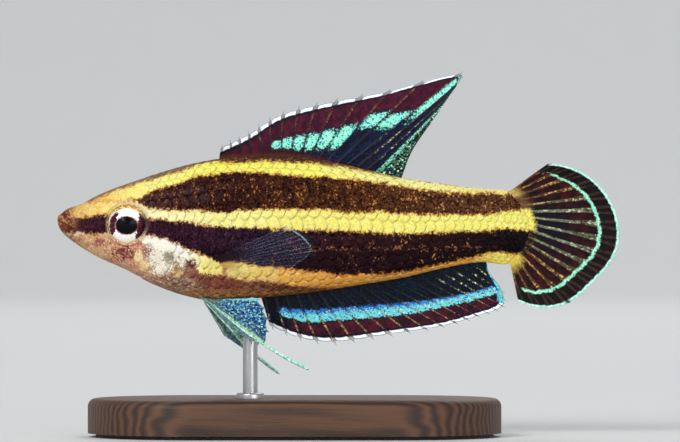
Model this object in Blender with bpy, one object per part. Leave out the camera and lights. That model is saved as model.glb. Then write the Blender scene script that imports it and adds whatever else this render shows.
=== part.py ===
"""Licorice gourami: a still, life-size model of the fish on a plain display stand.

Metres, +Z up. The fish faces -X and swims level with its fins spread, its left side towards -Y.
The origin lies on the surface that the stand rests on, below the middle of the whole model.
Fish sizes are given in millimetres behind the snout and above the line through the mouth.
"""

import math

import bmesh
import bpy
import numpy as np
from mathutils import Matrix, Vector

# Driving dimensions, in millimetres and degrees. GAP is what any two neighbours keep between them.
TOTAL_LENGTH = 38.0
MOUTH_HEIGHT = 14.64
GAP = 0.25
SECTION_POWER = 2.2
RING_POINTS = 40
SNOUT_START = 0.01
HEAD_RINGS = 22
HEAD_CROWDING = 2.0
TRUNK_RINGS = 13
TAIL_RINGS = 10

# Behind the snout: back above the mouth line, belly above it, half width of the body
BODY_STATIONS = [
    (0.00, 0.16, -0.12, 0.06),
    (0.30, 0.52, -0.85, 0.52),
    (0.75, 0.82, -1.28, 0.80),
    (1.60, 1.10, -1.88, 1.06),
    (2.80, 1.74, -2.58, 1.36),
    (4.60, 2.44, -3.38, 1.74),
    (6.50, 3.06, -4.40, 2.02),
    (9.10, 3.80, -5.26, 2.24),
    (11.50, 4.20, -5.44, 2.32),
    (14.70, 4.31, -5.16, 2.26),
    (17.70, 4.06, -4.80, 2.06),
    (20.10, 3.58, -4.42, 1.80),
    (23.25, 2.84, -3.90, 1.42),
    (26.00, 2.44, -3.26, 1.08),
    (28.50, 2.12, -2.84, 0.82),
    (30.20, 2.04, -3.02, 0.62),
    (32.00, 1.96, -3.05, 0.46),
]
TRUNK_END = 23.4
TAIL_END = 30.3
TAIL_END_BULGE = 1.6

# The gill cover's rear edge: behind the snout at the back, then how far it bows out at the sides
GILL_TOP = 9.9
GILL_BULGE = 0.85
GILL_THROAT = 1.2
GILL_LIFT = 0.16
GILL_LIFT_LENGTH = 2.4

# Mouth, nostrils and eyes: places behind the snout and above the mouth line. A nostril's third value
# is its radius, and the eye's centre and radii have the sideways value second.
MOUTH_START = (-0.40, 0.24)
MOUTH_CORNER = (1.05, -0.74)
MOUTH_SLIT = 0.14
LIP_LIFT = 0.09
LIP_WIDTH = 0.24
NOSTRILS = [(1.75, 0.42, 0.11), (2.75, 0.86, 0.14)]
EYE_CENTRE = (4.72, 1.30, -0.30)
EYE_RADII = (1.27, 0.64, 1.25)

# All fins: how thick the membrane and its edge are, how far a ray stands out of each face, the part of
# the way to the next ray that half a ray takes up, and how far a spine reaches past the edge
MEMBRANE = 0.50
RAY_RIDGE = 0.11
EDGE_THICKNESS = 0.20
RAY_SHARE = 0.24
SPINE_TIP = 0.25
ROW_CROWDING = 1.3
MEDIAN_ROWS = 5
CAUDAL_ROWS = 6
PAIRED_ROWS = 4

# Dorsal and anal fin: the root from front to back, then points of the outer edge as a ray's number, the
# place behind the snout and the height above the mouth line
DORSAL_RAYS = 19
DORSAL_SWAY = 0.30
DORSAL_ROOT = (11.05, 23.20)
DORSAL_MARGIN = [
    (0, 11.09, 4.86),
    (3, 12.91, 5.74),
    (6, 15.21, 7.10),
    (9, 18.79, 7.98),
    (11, 22.31, 8.65),
    (12, 24.47, 9.24),
    (13, 27.11, 9.84),
    (14, 27.04, 9.26),
    (16, 25.96, 7.64),
    (18, 24.05, 4.90),
]
ANAL_RAYS = 21
ANAL_SWAY = -0.28
ANAL_ROOT = (13.95, 28.90)
ANAL_MARGIN = [
    (0, 14.47, -7.17),
    (2, 16.36, -7.91),
    (4, 18.66, -8.18),
    (7, 22.38, -7.67),
    (10, 25.89, -7.13),
    (13, 28.32, -6.46),
    (16, 30.01, -5.80),
    (18, 30.01, -4.80),
    (20, 29.20, -3.60),
]

# Caudal fin: a fan of rays to a round edge, which is a little flatter at one angle: that angle, how wide
# the flat is, and how deep
CAUDAL_RAYS = 16
CAUDAL_SWAY = 0.35
CAUDAL_ROOT_TURNS = (0.06, 0.94)
CAUDAL_CENTRE = (33.12, -1.08)
CAUDAL_RADIUS = 4.88
CAUDAL_SWEEP = (88.0, -112.0)
CAUDAL_FLAT = (-45.0, 26.0, 0.50)

# Paired fins: the root, each named ray's length, and the first and last ray's angle in the side view.
# The pectoral fin flares and the pelvic fin splays out from the middle.
PECTORAL_RAYS = 11
PECTORAL_ROOT = [(11.00, -2.35), (11.45, -3.20)]
PECTORAL_LENGTHS = [(0, 4.9), (4, 5.75), (7, 5.9), (10, 4.6)]
PECTORAL_ANGLES = (23.0, 2.0)
PECTORAL_FLARE = 24.0
PELVIC_RAYS = 6
PELVIC_ROOT = (9.70, 0.80)
PELVIC_ROOT_LENGTH = 0.90
PELVIC_LENGTHS = [(0, 3.1), (1, 5.0), (2, 4.6), (3, 4.1), (5, 2.9)]
PELVIC_ANGLES = (41.0, 5.0)
PELVIC_SPLAY = 11.0
PELVIC_TURN = {"left": -0.8, "right": 10.6}
FILAMENT_LENGTH = {"left": 8.6, "right": 7.3}
FILAMENT_RADIUS = 0.25
FILAMENT_TIP = 0.12
FILAMENT_BOW = 0.30
FILAMENT_KNOTS = 9

# Display stand
BASE_LENGTH = 28.0
BASE_WIDTH = 15.0
BASE_THICKNESS = 2.6
BASE_BEVEL = 0.5
BASE_SIDES = 42
BASE_CENTRE = -3.0
ROD_RADIUS = 0.5
ROD_BEHIND_SNOUT = 13.0
SOCKET_DEPTH = 1.2


def clear_scene():
    for thing in list(bpy.data.objects):
        bpy.data.objects.remove(thing)


def place(behind, side, above):
    """A point of the fish, in millimetres, as a place in the model, in metres."""
    return Vector((behind - TOTAL_LENGTH / 2, side, above + MOUTH_HEIGHT)) * 0.001


def curve_through(stations):
    """A smooth function through (position, value, ...) rows, with each slope read from the rows beside it."""
    xs = [row[0] for row in stations]
    rows = [np.array(row[1:]) for row in stations]
    last = len(xs) - 1
    slopes = []
    for i in range(last + 1):
        low, high = max(i - 1, 0), min(i + 1, last)
        slopes.append((rows[high] - rows[low]) / (xs[high] - xs[low]))

    def value(x):
        x = min(max(x, xs[0]), xs[-1])
        i = max(k for k in range(last) if xs[k] <= x)
        width = xs[i + 1] - xs[i]
        t = (x - xs[i]) / width
        start = rows[i] * (1 + 2 * t) * (1 - t) ** 2 + slopes[i] * width * t * (1 - t) ** 2
        end = rows[i + 1] * (3 - 2 * t) * t**2 + slopes[i + 1] * width * (t - 1) * t**2
        return start + end

    return value


BODY = curve_through([(math.sqrt(row[0]), *row[1:]) for row in BODY_STATIONS])


def body_size(behind):
    """Back, belly and half width there. Read against the square root, which rounds the snout."""
    return BODY(math.sqrt(max(behind, 0.0)))


def flank(behind, above):
    """Half width of the body at that height."""
    back, belly, wide = body_size(behind)
    share = abs(above - (back + belly) / 2) / ((back - belly) / 2)
    return wide * max(1 - share**SECTION_POWER, 0.0) ** (1 / SECTION_POWER)


def underside(behind, side):
    """Height of the belly at that distance from the middle."""
    back, belly, wide = body_size(behind)
    share = min(abs(side) / wide, 1.0)
    return (back + belly) / 2 - (back - belly) / 2 * (1 - share**SECTION_POWER) ** (1 / SECTION_POWER)


def gill_line(turn):
    """Where the gill cover ends, round the body. A turn of 0 is the back and pi is the throat."""
    return GILL_TOP + GILL_BULGE * math.sin(turn) ** 2 - GILL_THROAT * max(-math.cos(turn), 0.0) ** 3


def snout_line(turn):
    return SNOUT_START


def behind_gill(turn):
    return gill_line(turn) + GAP


def trunk_line(turn):
    return TRUNK_END


def behind_trunk(turn):
    return TRUNK_END + GAP


def tail_line(turn):
    """Where the flesh of the tail ends, which bows out between the caudal fin's corners."""
    return TAIL_END + TAIL_END_BULGE * math.sin(turn) ** 2


def bump(distance, width):
    return math.exp(-((distance / width) ** 2))


def head_lift(behind, turn, above):
    """How far the lips and the gill cover's edge stand out of the head's plain form."""
    start, corner = Vector(MOUTH_START), Vector(MOUTH_CORNER)
    line = (corner - start).normalized()
    away = Vector((behind, above)) - start
    past = max(away.dot(line) - (corner - start).length, 0.0)
    across = abs(away.x * line.y - away.y * line.x)
    lips = LIP_LIFT * bump(across, LIP_WIDTH) * bump(past, LIP_WIDTH)
    rise = max(1 - (gill_line(turn) - behind) / GILL_LIFT_LENGTH, 0.0)
    cover = GILL_LIFT * rise**2 * math.sin(turn) ** 2
    return lips + cover


def skin_point(behind, turn, lift):
    """A point of the body's surface, stood off from its plain form by the lift."""
    back, belly, wide = body_size(behind)
    middle = (back + belly) / 2
    across, up = (
        math.copysign(abs(part) ** (2 / SECTION_POWER), part) for part in (math.sin(turn), math.cos(turn))
    )
    side, rise = wide * across, (back - belly) / 2 * up
    out = 1 + lift(behind, turn, middle + rise) / max(math.hypot(side, rise), GAP)
    return place(behind, side * out, middle + rise * out)


def no_lift(behind, turn, above):
    return 0.0


def loft(name, start, end, rings, finish, lift=no_lift, crowding=1.0):
    """A length of the body: rings of points from one line round it to another, bridged and closed.

    A crowding above 1 draws the rings together towards the first line.
    """
    bm = bmesh.new()
    loops = []
    for k in range(rings):
        share = (k / (rings - 1)) ** crowding
        ring = []
        for j in range(RING_POINTS):
            turn = 2 * math.pi * j / RING_POINTS
            behind = start(turn) + (end(turn) - start(turn)) * share
            ring.append(bm.verts.new(skin_point(behind, turn, lift)))
        loops.append(ring)
    for ring, following in zip(loops, loops[1:]):
        edges = []
        for verts in (ring, following):
            for j, vert in enumerate(verts):
                ends = (vert, verts[(j + 1) % RING_POINTS])
                edges.append(bm.edges.get(ends) or bm.edges.new(ends))
        bmesh.ops.bridge_loops(bm, edges=edges)
    for ring in (loops[0], loops[-1]):
        close_across(bm, ring)
    return finish_mesh(bm, name, finish)


def close_across(bm, ring):
    """Closes a ring with faces that run from its left side straight over to its right side."""
    count = len(ring)
    for j in range(count // 2):
        corners = [ring[j], ring[j + 1], ring[count - j - 1], ring[(count - j) % count]]
        bm.faces.new(list(dict.fromkeys(corners)))


def finish_mesh(bm, name, finish):
    """Makes the bmesh an object, with its faces pointing out and round surfaces shaded smooth."""
    bmesh.ops.recalc_face_normals(bm, faces=bm.faces)
    mesh = bpy.data.meshes.new(name)
    bm.to_mesh(mesh)
    bm.free()
    mesh.shade_smooth()
    mesh.set_sharp_from_angle(angle=math.radians(40))
    thing = bpy.data.objects.new(name, mesh)
    thing.data.materials.append(finish)
    bpy.context.scene.collection.objects.link(thing)
    return thing


def rayed_sheet(bm, rays, root, margin, side, rows, tip=0.0):
    """A fin: a thin membrane with its rays raised along both faces.

    root and margin give a ray's two ends, in millimetres, for any number between two rays.
    side gives the membrane's distance from the middle, and tip how far the rays stand past its edge.
    """
    columns = []
    for i in range(rays):
        columns += [(i - RAY_SHARE, 0), (i, 1), (i + RAY_SHARE, 0)]
    columns = columns[1:-1]
    grid = bmesh.ops.create_grid(bm, x_segments=len(columns) - 1, y_segments=rows, size=1.0)["verts"]
    grid.sort(key=lambda vert: (round(vert.co.x, 5), vert.co.y))
    thick = {}
    for k, vert in enumerate(grid):
        (number, crest), step = columns[k // (rows + 1)], k % (rows + 1)
        share = 1 - (1 - step / rows) ** ROW_CROWDING
        start, end = Vector(root(number)), Vector(margin(number))
        reach = (end - start).length + tip * crest
        point = start + (end - start).normalized() * reach * share
        vert.co = (point.x, side(number, share), point.y)
        body = MEMBRANE + 2 * RAY_RIDGE * crest
        thick[vert] = (EDGE_THICKNESS if step == rows else body) / 2
    bmesh.ops.triangulate(bm, faces=bm.faces[:])
    near = bm.verts[:]
    made = bmesh.ops.extrude_face_region(bm, geom=bm.faces[:], use_keep_orig=True)["geom"]
    far = [part for part in made if isinstance(part, bmesh.types.BMVert)]
    far_of = {tuple(vert.co): vert for vert in far}
    for vert in near:
        other = far_of[tuple(vert.co)]
        other.co.y += thick[vert]
        vert.co.y -= thick[vert]
    for vert in near + far:
        vert.co = place(*vert.co)


def wave(along):
    """The gentle swing of an unpaired fin to either side, from its first ray to its last."""
    return math.sin(math.pi * (1.6 * along - 0.2))


def head(skin):
    thing = loft("head", snout_line, gill_line, HEAD_RINGS, skin, head_lift, HEAD_CROWDING)
    cutters = [mouth_cutter()]
    for hand in (-1, 1):
        cutters.append(eye_ball(f"socket_{hand}", hand, GAP, None))
        for number, spot in enumerate(NOSTRILS):
            cutters.append(nostril_cutter(f"nostril_{hand}_{number}", hand, spot))
    for cutter in cutters:
        cut(thing, cutter)


def mouth_cutter():
    """A thin slab that parts the jaws, from in front of the snout back to the mouth's corner."""
    start, corner = Vector(MOUTH_START), Vector(MOUTH_CORNER)
    along = corner - start
    wide = 2 * BODY_STATIONS[4][3]
    bm = bmesh.new()
    bmesh.ops.create_cube(bm, size=0.001)
    bmesh.ops.scale(bm, vec=(along.length, wide, MOUTH_SLIT), verts=bm.verts)
    bmesh.ops.rotate(bm, matrix=Matrix.Rotation(-math.atan2(along.y, along.x), 3, "Y"), verts=bm.verts)
    middle = (start + corner) / 2
    bmesh.ops.translate(bm, vec=place(middle.x, 0, middle.y), verts=bm.verts)
    return as_cutter(finish_mesh(bm, "mouth_line", None))


def nostril_cutter(name, hand, spot):
    behind, above, radius = spot
    bm = bmesh.new()
    bmesh.ops.create_icosphere(bm, subdivisions=1, radius=radius * 0.001)
    bmesh.ops.translate(bm, vec=place(behind, hand * flank(behind, above), above), verts=bm.verts)
    return as_cutter(finish_mesh(bm, name, None))


def as_cutter(thing):
    thing.hide_render = True
    thing.display_type = "WIRE"
    return thing


def cut(thing, cutter):
    as_cutter(cutter)
    modifier = thing.modifiers.new(cutter.name, "BOOLEAN")
    modifier.operation = "DIFFERENCE"
    modifier.solver = "EXACT"
    modifier.object = cutter


def eye_ball(name, hand, grow, finish):
    """A flattened ball, its poles looking out to the side, as large as the eye and the given growth."""
    behind, side, above = EYE_CENTRE
    bm = bmesh.new()
    bmesh.ops.create_uvsphere(bm, u_segments=24, v_segments=12, radius=0.001)
    bmesh.ops.rotate(bm, matrix=Matrix.Rotation(math.pi / 2, 3, "X"), verts=bm.verts)
    bmesh.ops.scale(bm, vec=[radius + grow for radius in EYE_RADII], verts=bm.verts)
    bmesh.ops.translate(bm, vec=place(behind, hand * side, above), verts=bm.verts)
    return finish_mesh(bm, name, finish)


def median_fin(name, rays, root_span, margin_rows, height, sway, finish):
    """The dorsal or anal fin: it stands on the middle line and its rays share out the root's length."""
    margin_curve = curve_through(margin_rows)

    def root(number):
        behind = root_span[0] + (root_span[1] - root_span[0]) * number / (rays - 1)
        return behind, height(behind)

    def side(number, share):
        return sway * wave(number / (rays - 1)) * share**2

    bm = bmesh.new()
    rayed_sheet(bm, rays, root, margin_curve, side, MEDIAN_ROWS, SPINE_TIP)
    return finish_mesh(bm, name, finish)


def caudal_fin(finish):
    """The round tail fin, fanned out from the bowed end of the tail."""
    top, bottom = CAUDAL_ROOT_TURNS
    first, last = CAUDAL_SWEEP
    flat_angle, flat_width, flat_depth = CAUDAL_FLAT

    def root(number):
        turn = math.pi * (top + (bottom - top) * number / (CAUDAL_RAYS - 1))
        behind = tail_line(turn) + GAP
        back, belly, _ = body_size(behind)
        return behind, (back + belly) / 2 + (back - belly) / 2 * math.cos(turn)

    def margin(number):
        angle = first + (last - first) * number / (CAUDAL_RAYS - 1)
        radius = CAUDAL_RADIUS - flat_depth * bump(angle - flat_angle, flat_width)
        return (
            CAUDAL_CENTRE[0] + radius * math.cos(math.radians(angle)),
            CAUDAL_CENTRE[1] + radius * math.sin(math.radians(angle)),
        )

    def side(number, share):
        return CAUDAL_SWAY * wave(number / (CAUDAL_RAYS - 1)) * share**2

    bm = bmesh.new()
    rayed_sheet(bm, CAUDAL_RAYS, root, margin, side, CAUDAL_ROWS)
    return finish_mesh(bm, "caudal_fin", finish)


def fan_margin(rays, root, lengths, angles):
    """Ends of rays that fan out from a short root, between two angles above the horizontal."""
    length = curve_through(lengths)

    def margin(number):
        angle = math.radians(angles[0] + (angles[1] - angles[0]) * number / (rays - 1))
        start = Vector(root(number))
        return start + Vector((math.cos(angle), math.sin(angle))) * length(number)[0]

    return margin


def pectoral_fin(name, hand, finish):
    """One of the pair behind the gill covers, its root on the flank and its fan swung out from it."""
    top, bottom = (Vector(end) for end in PECTORAL_ROOT)

    def root(number):
        return top.lerp(bottom, number / (PECTORAL_RAYS - 1))

    margin = fan_margin(PECTORAL_RAYS, root, PECTORAL_LENGTHS, PECTORAL_ANGLES)
    flare = math.tan(math.radians(PECTORAL_FLARE))

    def side(number, share):
        beside = flank(*root(number)) + GAP + MEMBRANE / 2 + RAY_RIDGE
        reach = (margin(number) - root(number)).x * share
        return hand * (beside + reach * flare * (1 - 0.25 * share))

    bm = bmesh.new()
    rayed_sheet(bm, PECTORAL_RAYS, root, margin, side, PAIRED_ROWS)
    return finish_mesh(bm, name, finish)


def pelvic_fin(name, hand, turn, reach_of_filament, finish):
    """One of the pair below the belly, its second ray drawn out to a long free filament."""
    behind, away = PELVIC_ROOT
    side_slope = math.tan(math.radians(PELVIC_SPLAY))

    def root(number):
        step = PELVIC_ROOT_LENGTH * number / (PELVIC_RAYS - 1)
        return behind + step, underside(behind + step, away) - GAP

    angles = [-(angle + turn) for angle in PELVIC_ANGLES]
    margin = fan_margin(PELVIC_RAYS, root, PELVIC_LENGTHS, angles)

    def side(number, share):
        return hand * (away + (Vector(margin(number)) - Vector(root(number))).length * share * side_slope)

    bm = bmesh.new()
    rayed_sheet(bm, PELVIC_RAYS, root, margin, side, PAIRED_ROWS)
    thing = finish_mesh(bm, name, finish)
    start = Vector(root(1))
    line = (Vector(margin(1)) - start).normalized()
    below = Vector((line.y, -line.x))
    sunk = MEMBRANE
    knots = []
    for k in range(FILAMENT_KNOTS):
        share = k / (FILAMENT_KNOTS - 1)
        reach = sunk + (reach_of_filament - sunk) * share
        spot = start + line * reach + below * FILAMENT_BOW * math.sin(math.pi * share)
        knots.append((place(spot.x, hand * (away + reach * side_slope), spot.y), share))
    union(thing, [filament(f"{name}_filament", knots)])
    return thing


def filament(name, knots):
    """A tapered thread through its knots, closed at both ends."""
    line = bpy.data.curves.new(name, "CURVE")
    line.dimensions = "3D"
    line.bevel_depth = FILAMENT_RADIUS * 0.001
    line.bevel_resolution = 1
    line.use_fill_caps = True
    spline = line.splines.new("POLY")
    spline.points.add(len(knots) - 1)
    for knot, (spot, share) in zip(spline.points, knots):
        knot.co = (*spot, 1.0)
        knot.radius = 1 - (1 - FILAMENT_TIP / FILAMENT_RADIUS) * share
    holder = bpy.data.objects.new(name, line)
    bpy.context.scene.collection.objects.link(holder)
    bpy.context.view_layer.update()
    mesh = bpy.data.meshes.new_from_object(holder.evaluated_get(bpy.context.evaluated_depsgraph_get()))
    bpy.data.objects.remove(holder)
    bm = bmesh.new()
    bm.from_mesh(mesh)
    bmesh.ops.remove_doubles(bm, verts=bm.verts, dist=1e-7)
    return finish_mesh(bm, name, None)


def union(thing, pieces):
    """Joins the pieces to the thing by one Boolean, applied, and removes them."""
    group = bpy.data.collections.new(f"{thing.name}_pieces")
    for piece in pieces:
        group.objects.link(piece)
    modifier = thing.modifiers.new("joined", "BOOLEAN")
    modifier.operation = "UNION"
    modifier.solver = "EXACT"
    modifier.operand_type = "COLLECTION"
    modifier.collection = group
    bpy.context.view_layer.update()
    joined = bpy.data.meshes.new_from_object(thing.evaluated_get(bpy.context.evaluated_depsgraph_get()))
    thing.modifiers.clear()
    thing.data = joined
    for piece in pieces:
        bpy.data.objects.remove(piece)
    bpy.data.collections.remove(group)


def stand_base(finish):
    """A flat stadium-shaped plate with an eased upper edge and a socket for the rod."""
    bm = bmesh.new()
    bmesh.ops.create_circle(bm, cap_ends=True, segments=BASE_SIDES, radius=BASE_WIDTH / 2 * 0.001)
    shift = (BASE_LENGTH - BASE_WIDTH) / 2
    for vert in bm.verts:
        vert.co.x += (BASE_CENTRE + (shift if vert.co.x > 0 else -shift)) * 0.001
    top = bmesh.ops.extrude_face_region(bm, geom=bm.faces[:])["geom"]
    raised = [part for part in top if isinstance(part, bmesh.types.BMVert)]
    bmesh.ops.translate(bm, vec=(0, 0, BASE_THICKNESS * 0.001), verts=raised)
    rim = [part for part in top if isinstance(part, bmesh.types.BMEdge)]
    bmesh.ops.bevel(
        bm, geom=rim, offset=BASE_BEVEL * 0.001, segments=3, profile=0.5, affect="EDGES", material=-1
    )
    thing = finish_mesh(bm, "stand_base", finish)
    top_of_socket = BASE_THICKNESS + 1.0
    socket = upright_rod(
        "rod_socket", ROD_RADIUS + GAP, BASE_THICKNESS - SOCKET_DEPTH, top_of_socket, None
    )
    cut(thing, socket)
    return thing


def upright_rod(name, radius, bottom, top, finish):
    """A round bar between two heights above the surface that the stand rests on."""
    bm = bmesh.new()
    bmesh.ops.create_cone(
        bm,
        cap_ends=True,
        segments=20,
        radius1=radius * 0.001,
        radius2=radius * 0.001,
        depth=(top - bottom) * 0.001,
    )
    where = place(ROD_BEHIND_SNOUT, 0, (top + bottom) / 2 - MOUTH_HEIGHT)
    bmesh.ops.translate(bm, vec=where, verts=bm.verts)
    return finish_mesh(bm, name, finish)


def material(name, colour, roughness, metallic=0.0):
    made = bpy.data.materials.new(name)
    made.use_nodes = True
    shader = made.node_tree.nodes["Principled BSDF"]
    shader.inputs["Base Color"].default_value = (*colour, 1.0)
    shader.inputs["Roughness"].default_value = roughness
    shader.inputs["Metallic"].default_value = metallic
    return made


def main():
    clear_scene()
    skin = material("striped_skin", (0.62, 0.42, 0.16), 0.4)
    fins = material("fin_membrane", (0.12, 0.30, 0.38), 0.35)
    clear_fins = material("clear_fin", (0.45, 0.50, 0.52), 0.3)
    eyes = material("eye", (0.75, 0.74, 0.68), 0.12)
    wood = material("walnut", (0.13, 0.07, 0.04), 0.45)
    steel = material("steel", (0.62, 0.62, 0.63), 0.25, 1.0)

    head(skin)
    loft("trunk", behind_gill, trunk_line, TRUNK_RINGS, skin)
    loft("tail", behind_trunk, tail_line, TAIL_RINGS, skin)
    for side_name, hand in (("left", -1), ("right", 1)):
        eye_ball(f"eye_{side_name}", hand, 0.0, eyes)
        pectoral_fin(f"pectoral_fin_{side_name}", hand, clear_fins)
        turn, reach = PELVIC_TURN[side_name], FILAMENT_LENGTH[side_name]
        pelvic_fin(f"pelvic_fin_{side_name}", hand, turn, reach, fins)
    median_fin(
        "dorsal_fin",
        DORSAL_RAYS,
        DORSAL_ROOT,
        DORSAL_MARGIN,
        lambda behind: body_size(behind)[0] + GAP,
        DORSAL_SWAY,
        fins,
    )
    median_fin(
        "anal_fin",
        ANAL_RAYS,
        ANAL_ROOT,
        ANAL_MARGIN,
        lambda behind: body_size(behind)[1] - GAP,
        ANAL_SWAY,
        fins,
    )
    caudal_fin(fins)
    stand_base(wood)
    rod_top = MOUTH_HEIGHT + body_size(ROD_BEHIND_SNOUT)[1] - GAP
    upright_rod("stand_rod", ROD_RADIUS, BASE_THICKNESS - SOCKET_DEPTH + GAP, rod_top, steel)


main()
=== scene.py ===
"""Licorice gourami on its display stand: skin, scales, eyes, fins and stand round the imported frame."""

import math
import random

import bmesh
import bpy
import numpy as np
from mathutils import Matrix, Vector


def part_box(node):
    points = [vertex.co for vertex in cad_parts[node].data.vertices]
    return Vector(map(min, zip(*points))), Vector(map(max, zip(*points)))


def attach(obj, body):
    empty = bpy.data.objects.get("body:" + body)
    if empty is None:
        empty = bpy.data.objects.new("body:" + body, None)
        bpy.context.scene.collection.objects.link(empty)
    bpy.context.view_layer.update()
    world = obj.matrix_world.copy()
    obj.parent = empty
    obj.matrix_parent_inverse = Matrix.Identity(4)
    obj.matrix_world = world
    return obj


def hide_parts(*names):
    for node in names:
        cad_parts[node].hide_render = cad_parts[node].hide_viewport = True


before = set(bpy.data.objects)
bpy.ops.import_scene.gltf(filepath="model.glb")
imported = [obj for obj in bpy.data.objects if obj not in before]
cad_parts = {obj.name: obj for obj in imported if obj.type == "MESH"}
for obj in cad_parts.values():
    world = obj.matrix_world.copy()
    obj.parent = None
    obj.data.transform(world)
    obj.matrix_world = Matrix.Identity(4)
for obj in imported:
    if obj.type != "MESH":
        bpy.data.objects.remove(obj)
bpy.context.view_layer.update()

# The display base is a stadium-shaped plate of walnut, sawn with the grain along it, eased along its
# upper edge, oiled and rubbed. A dark felt sheet is glued below it, set back from the edge.

MM = 0.001
base_low, base_high = (Vector(corner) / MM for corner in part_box("stand_base"))
base_length = base_high.x - base_low.x
base_width = base_high.y - base_low.y
base_thickness = base_high.z
base_middle = (base_low.x + base_high.x) / 2
FELT_THICKNESS = 0.25
FELT_SET_BACK = 0.55
EASED_EDGE = 0.55
RIM_POINTS = 130
CRISP_ANGLE = math.radians(35)


class Pattern:
    """What a node gives out over a piece's surface. Sums with it are nodes too."""

    def __init__(self, socket):
        self.socket = socket
        self.tree = socket.id_data

    def __add__(self, other):
        return maths("ADD", self, other)

    def __radd__(self, other):
        return maths("ADD", other, self)

    def __sub__(self, other):
        return maths("SUBTRACT", self, other)

    def __rsub__(self, other):
        return maths("SUBTRACT", other, self)

    def __mul__(self, other):
        return maths("MULTIPLY", self, other)

    def __truediv__(self, other):
        return maths("DIVIDE", self, other)

    def __pow__(self, other):
        return maths("POWER", self, other)


def fill(socket, value):
    """Links a socket to a pattern, or sets it to a plain value."""
    if isinstance(value, Pattern):
        socket.id_data.links.new(value.socket, socket)
    else:
        socket.default_value = value


def node(tree, kind, sockets=(), output=0, **settings):
    """Adds a node with its sockets filled, and gives the pattern that comes out of it."""
    made = tree.nodes.new(kind)
    for key, value in settings.items():
        setattr(made, key, value)
    for key, value in dict(sockets).items():
        fill(made.inputs[key], value)
    return Pattern(made.outputs[output])


def tree_of(*values):
    return next(value.tree for value in values if isinstance(value, Pattern))


def maths(operation, *values):
    return node(tree_of(*values), "ShaderNodeMath", enumerate(values), operation=operation)


def srgb(colour):
    """A colour in the shader's linear form. It comes as the eye reads it, 0 to 255, or as a share of white,
    and a pattern stays as it is."""
    if isinstance(colour, Pattern):
        return colour
    if isinstance(colour, float):
        return (colour, colour, colour, 1.0)
    parts = [part / 255 for part in colour]
    linear = [part / 12.92 if part <= 0.04045 else ((part + 0.055) / 1.055) ** 2.4 for part in parts]
    return (*linear, 1.0)


def blend(share, first, second, how="MIX"):
    """Mixes two colours."""
    sockets = {0: share, 6: srgb(first), 7: srgb(second)}
    tree = tree_of(share, first, second)
    return node(tree, "ShaderNodeMix", sockets, output=2, data_type="RGBA", blend_type=how)


def fade(value, low, high):
    """0 where the value is at low, 1 where it is at high, and smooth between."""
    limits = {0: value, 1: low, 2: high}
    return node(value.tree, "ShaderNodeMapRange", limits, interpolation_type="SMOOTHSTEP")


def ramp(value, *stops, kind="LINEAR"):
    """A colour for each value, through stops given as (place, colour)."""
    made = node(value.tree, "ShaderNodeValToRGB", {0: value})
    scale = made.socket.node.color_ramp
    scale.interpolation = kind
    while len(scale.elements) < len(stops):
        scale.elements.new(0.5)
    for element, (at, colour) in zip(scale.elements, stops):
        element.position = at
        element.color = srgb(colour)
    return made


def millimetres(tree, stretch=(1, 1, 1)):
    """The place on the piece in millimetres, stretched as asked."""
    place = node(tree, "ShaderNodeTexCoord", output="Object")
    return node(tree, "ShaderNodeMapping", {"Vector": place, "Scale": [part / MM for part in stretch]})


def noise(place, scale, detail=2.0, rough=0.5):
    sockets = {"Vector": place, "Scale": scale, "Detail": detail, "Roughness": rough}
    return node(place.tree, "ShaderNodeTexNoise", sockets)


def dress(shader, **surface):
    """Fills sockets of the shader, named with low dashes for spaces."""
    for key, value in surface.items():
        fill(shader.inputs[key.replace("_", " ")], value)


def finish(name, **surface):
    """A new material: itself, its tree and its shader, with the given sockets set on the shader."""
    made = bpy.data.materials.new(name)
    made.use_nodes = True
    shader = made.node_tree.nodes["Principled BSDF"]
    dress(shader, **surface)
    return made, made.node_tree, shader


def relief(shader, height, distance, strength=1.0):
    """Raises the surface where the height is high, by a distance in millimetres."""
    sockets = {"Height": height, "Distance": distance * MM, "Strength": strength}
    dress(shader, Normal=node(height.tree, "ShaderNodeBump", sockets))


def mesh_from(bm, name):
    bmesh.ops.recalc_face_normals(bm, faces=bm.faces)
    mesh = bpy.data.meshes.new(name)
    bm.to_mesh(mesh)
    bm.free()
    mesh.shade_smooth()
    return mesh


def object_from(mesh, material):
    mesh.materials.append(material)
    made = bpy.data.objects.new(mesh.name, mesh)
    bpy.context.scene.collection.objects.link(made)
    return made


def piece_from(mesh, material):
    """Makes the mesh a piece of the model that rides on the body."""
    piece = object_from(mesh, material)
    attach(piece, "root")
    return piece


def crisp_piece(bm, name, material):
    """A piece of the stand, which keeps its sharper edges crisp."""
    mesh = mesh_from(bm, name)
    mesh.set_sharp_from_angle(angle=CRISP_ANGLE)
    return piece_from(mesh, material)


def stadium(bm, length, width, bottom, thickness):
    """A plate with round ends, and the edges of its upper rim."""
    bmesh.ops.create_circle(bm, cap_ends=True, segments=RIM_POINTS, radius=width / 2 * MM)
    shift = (length - width) / 2
    for vert in bm.verts:
        vert.co.x += (base_middle + math.copysign(shift, vert.co.x)) * MM
        vert.co.z = bottom * MM
    raised = bmesh.ops.extrude_face_region(bm, geom=bm.faces[:])["geom"]
    top = [part for part in raised if isinstance(part, bmesh.types.BMVert)]
    bmesh.ops.translate(bm, vec=(0, 0, thickness * MM), verts=top)
    return [part for part in raised if isinstance(part, bmesh.types.BMEdge)]


def ease(bm, rim, offset, segments):
    """Rounds over the edges of a rim."""
    bmesh.ops.bevel(bm, geom=rim, offset=offset * MM, segments=segments, profile=0.5, affect="EDGES",
                    material=-1)


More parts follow.
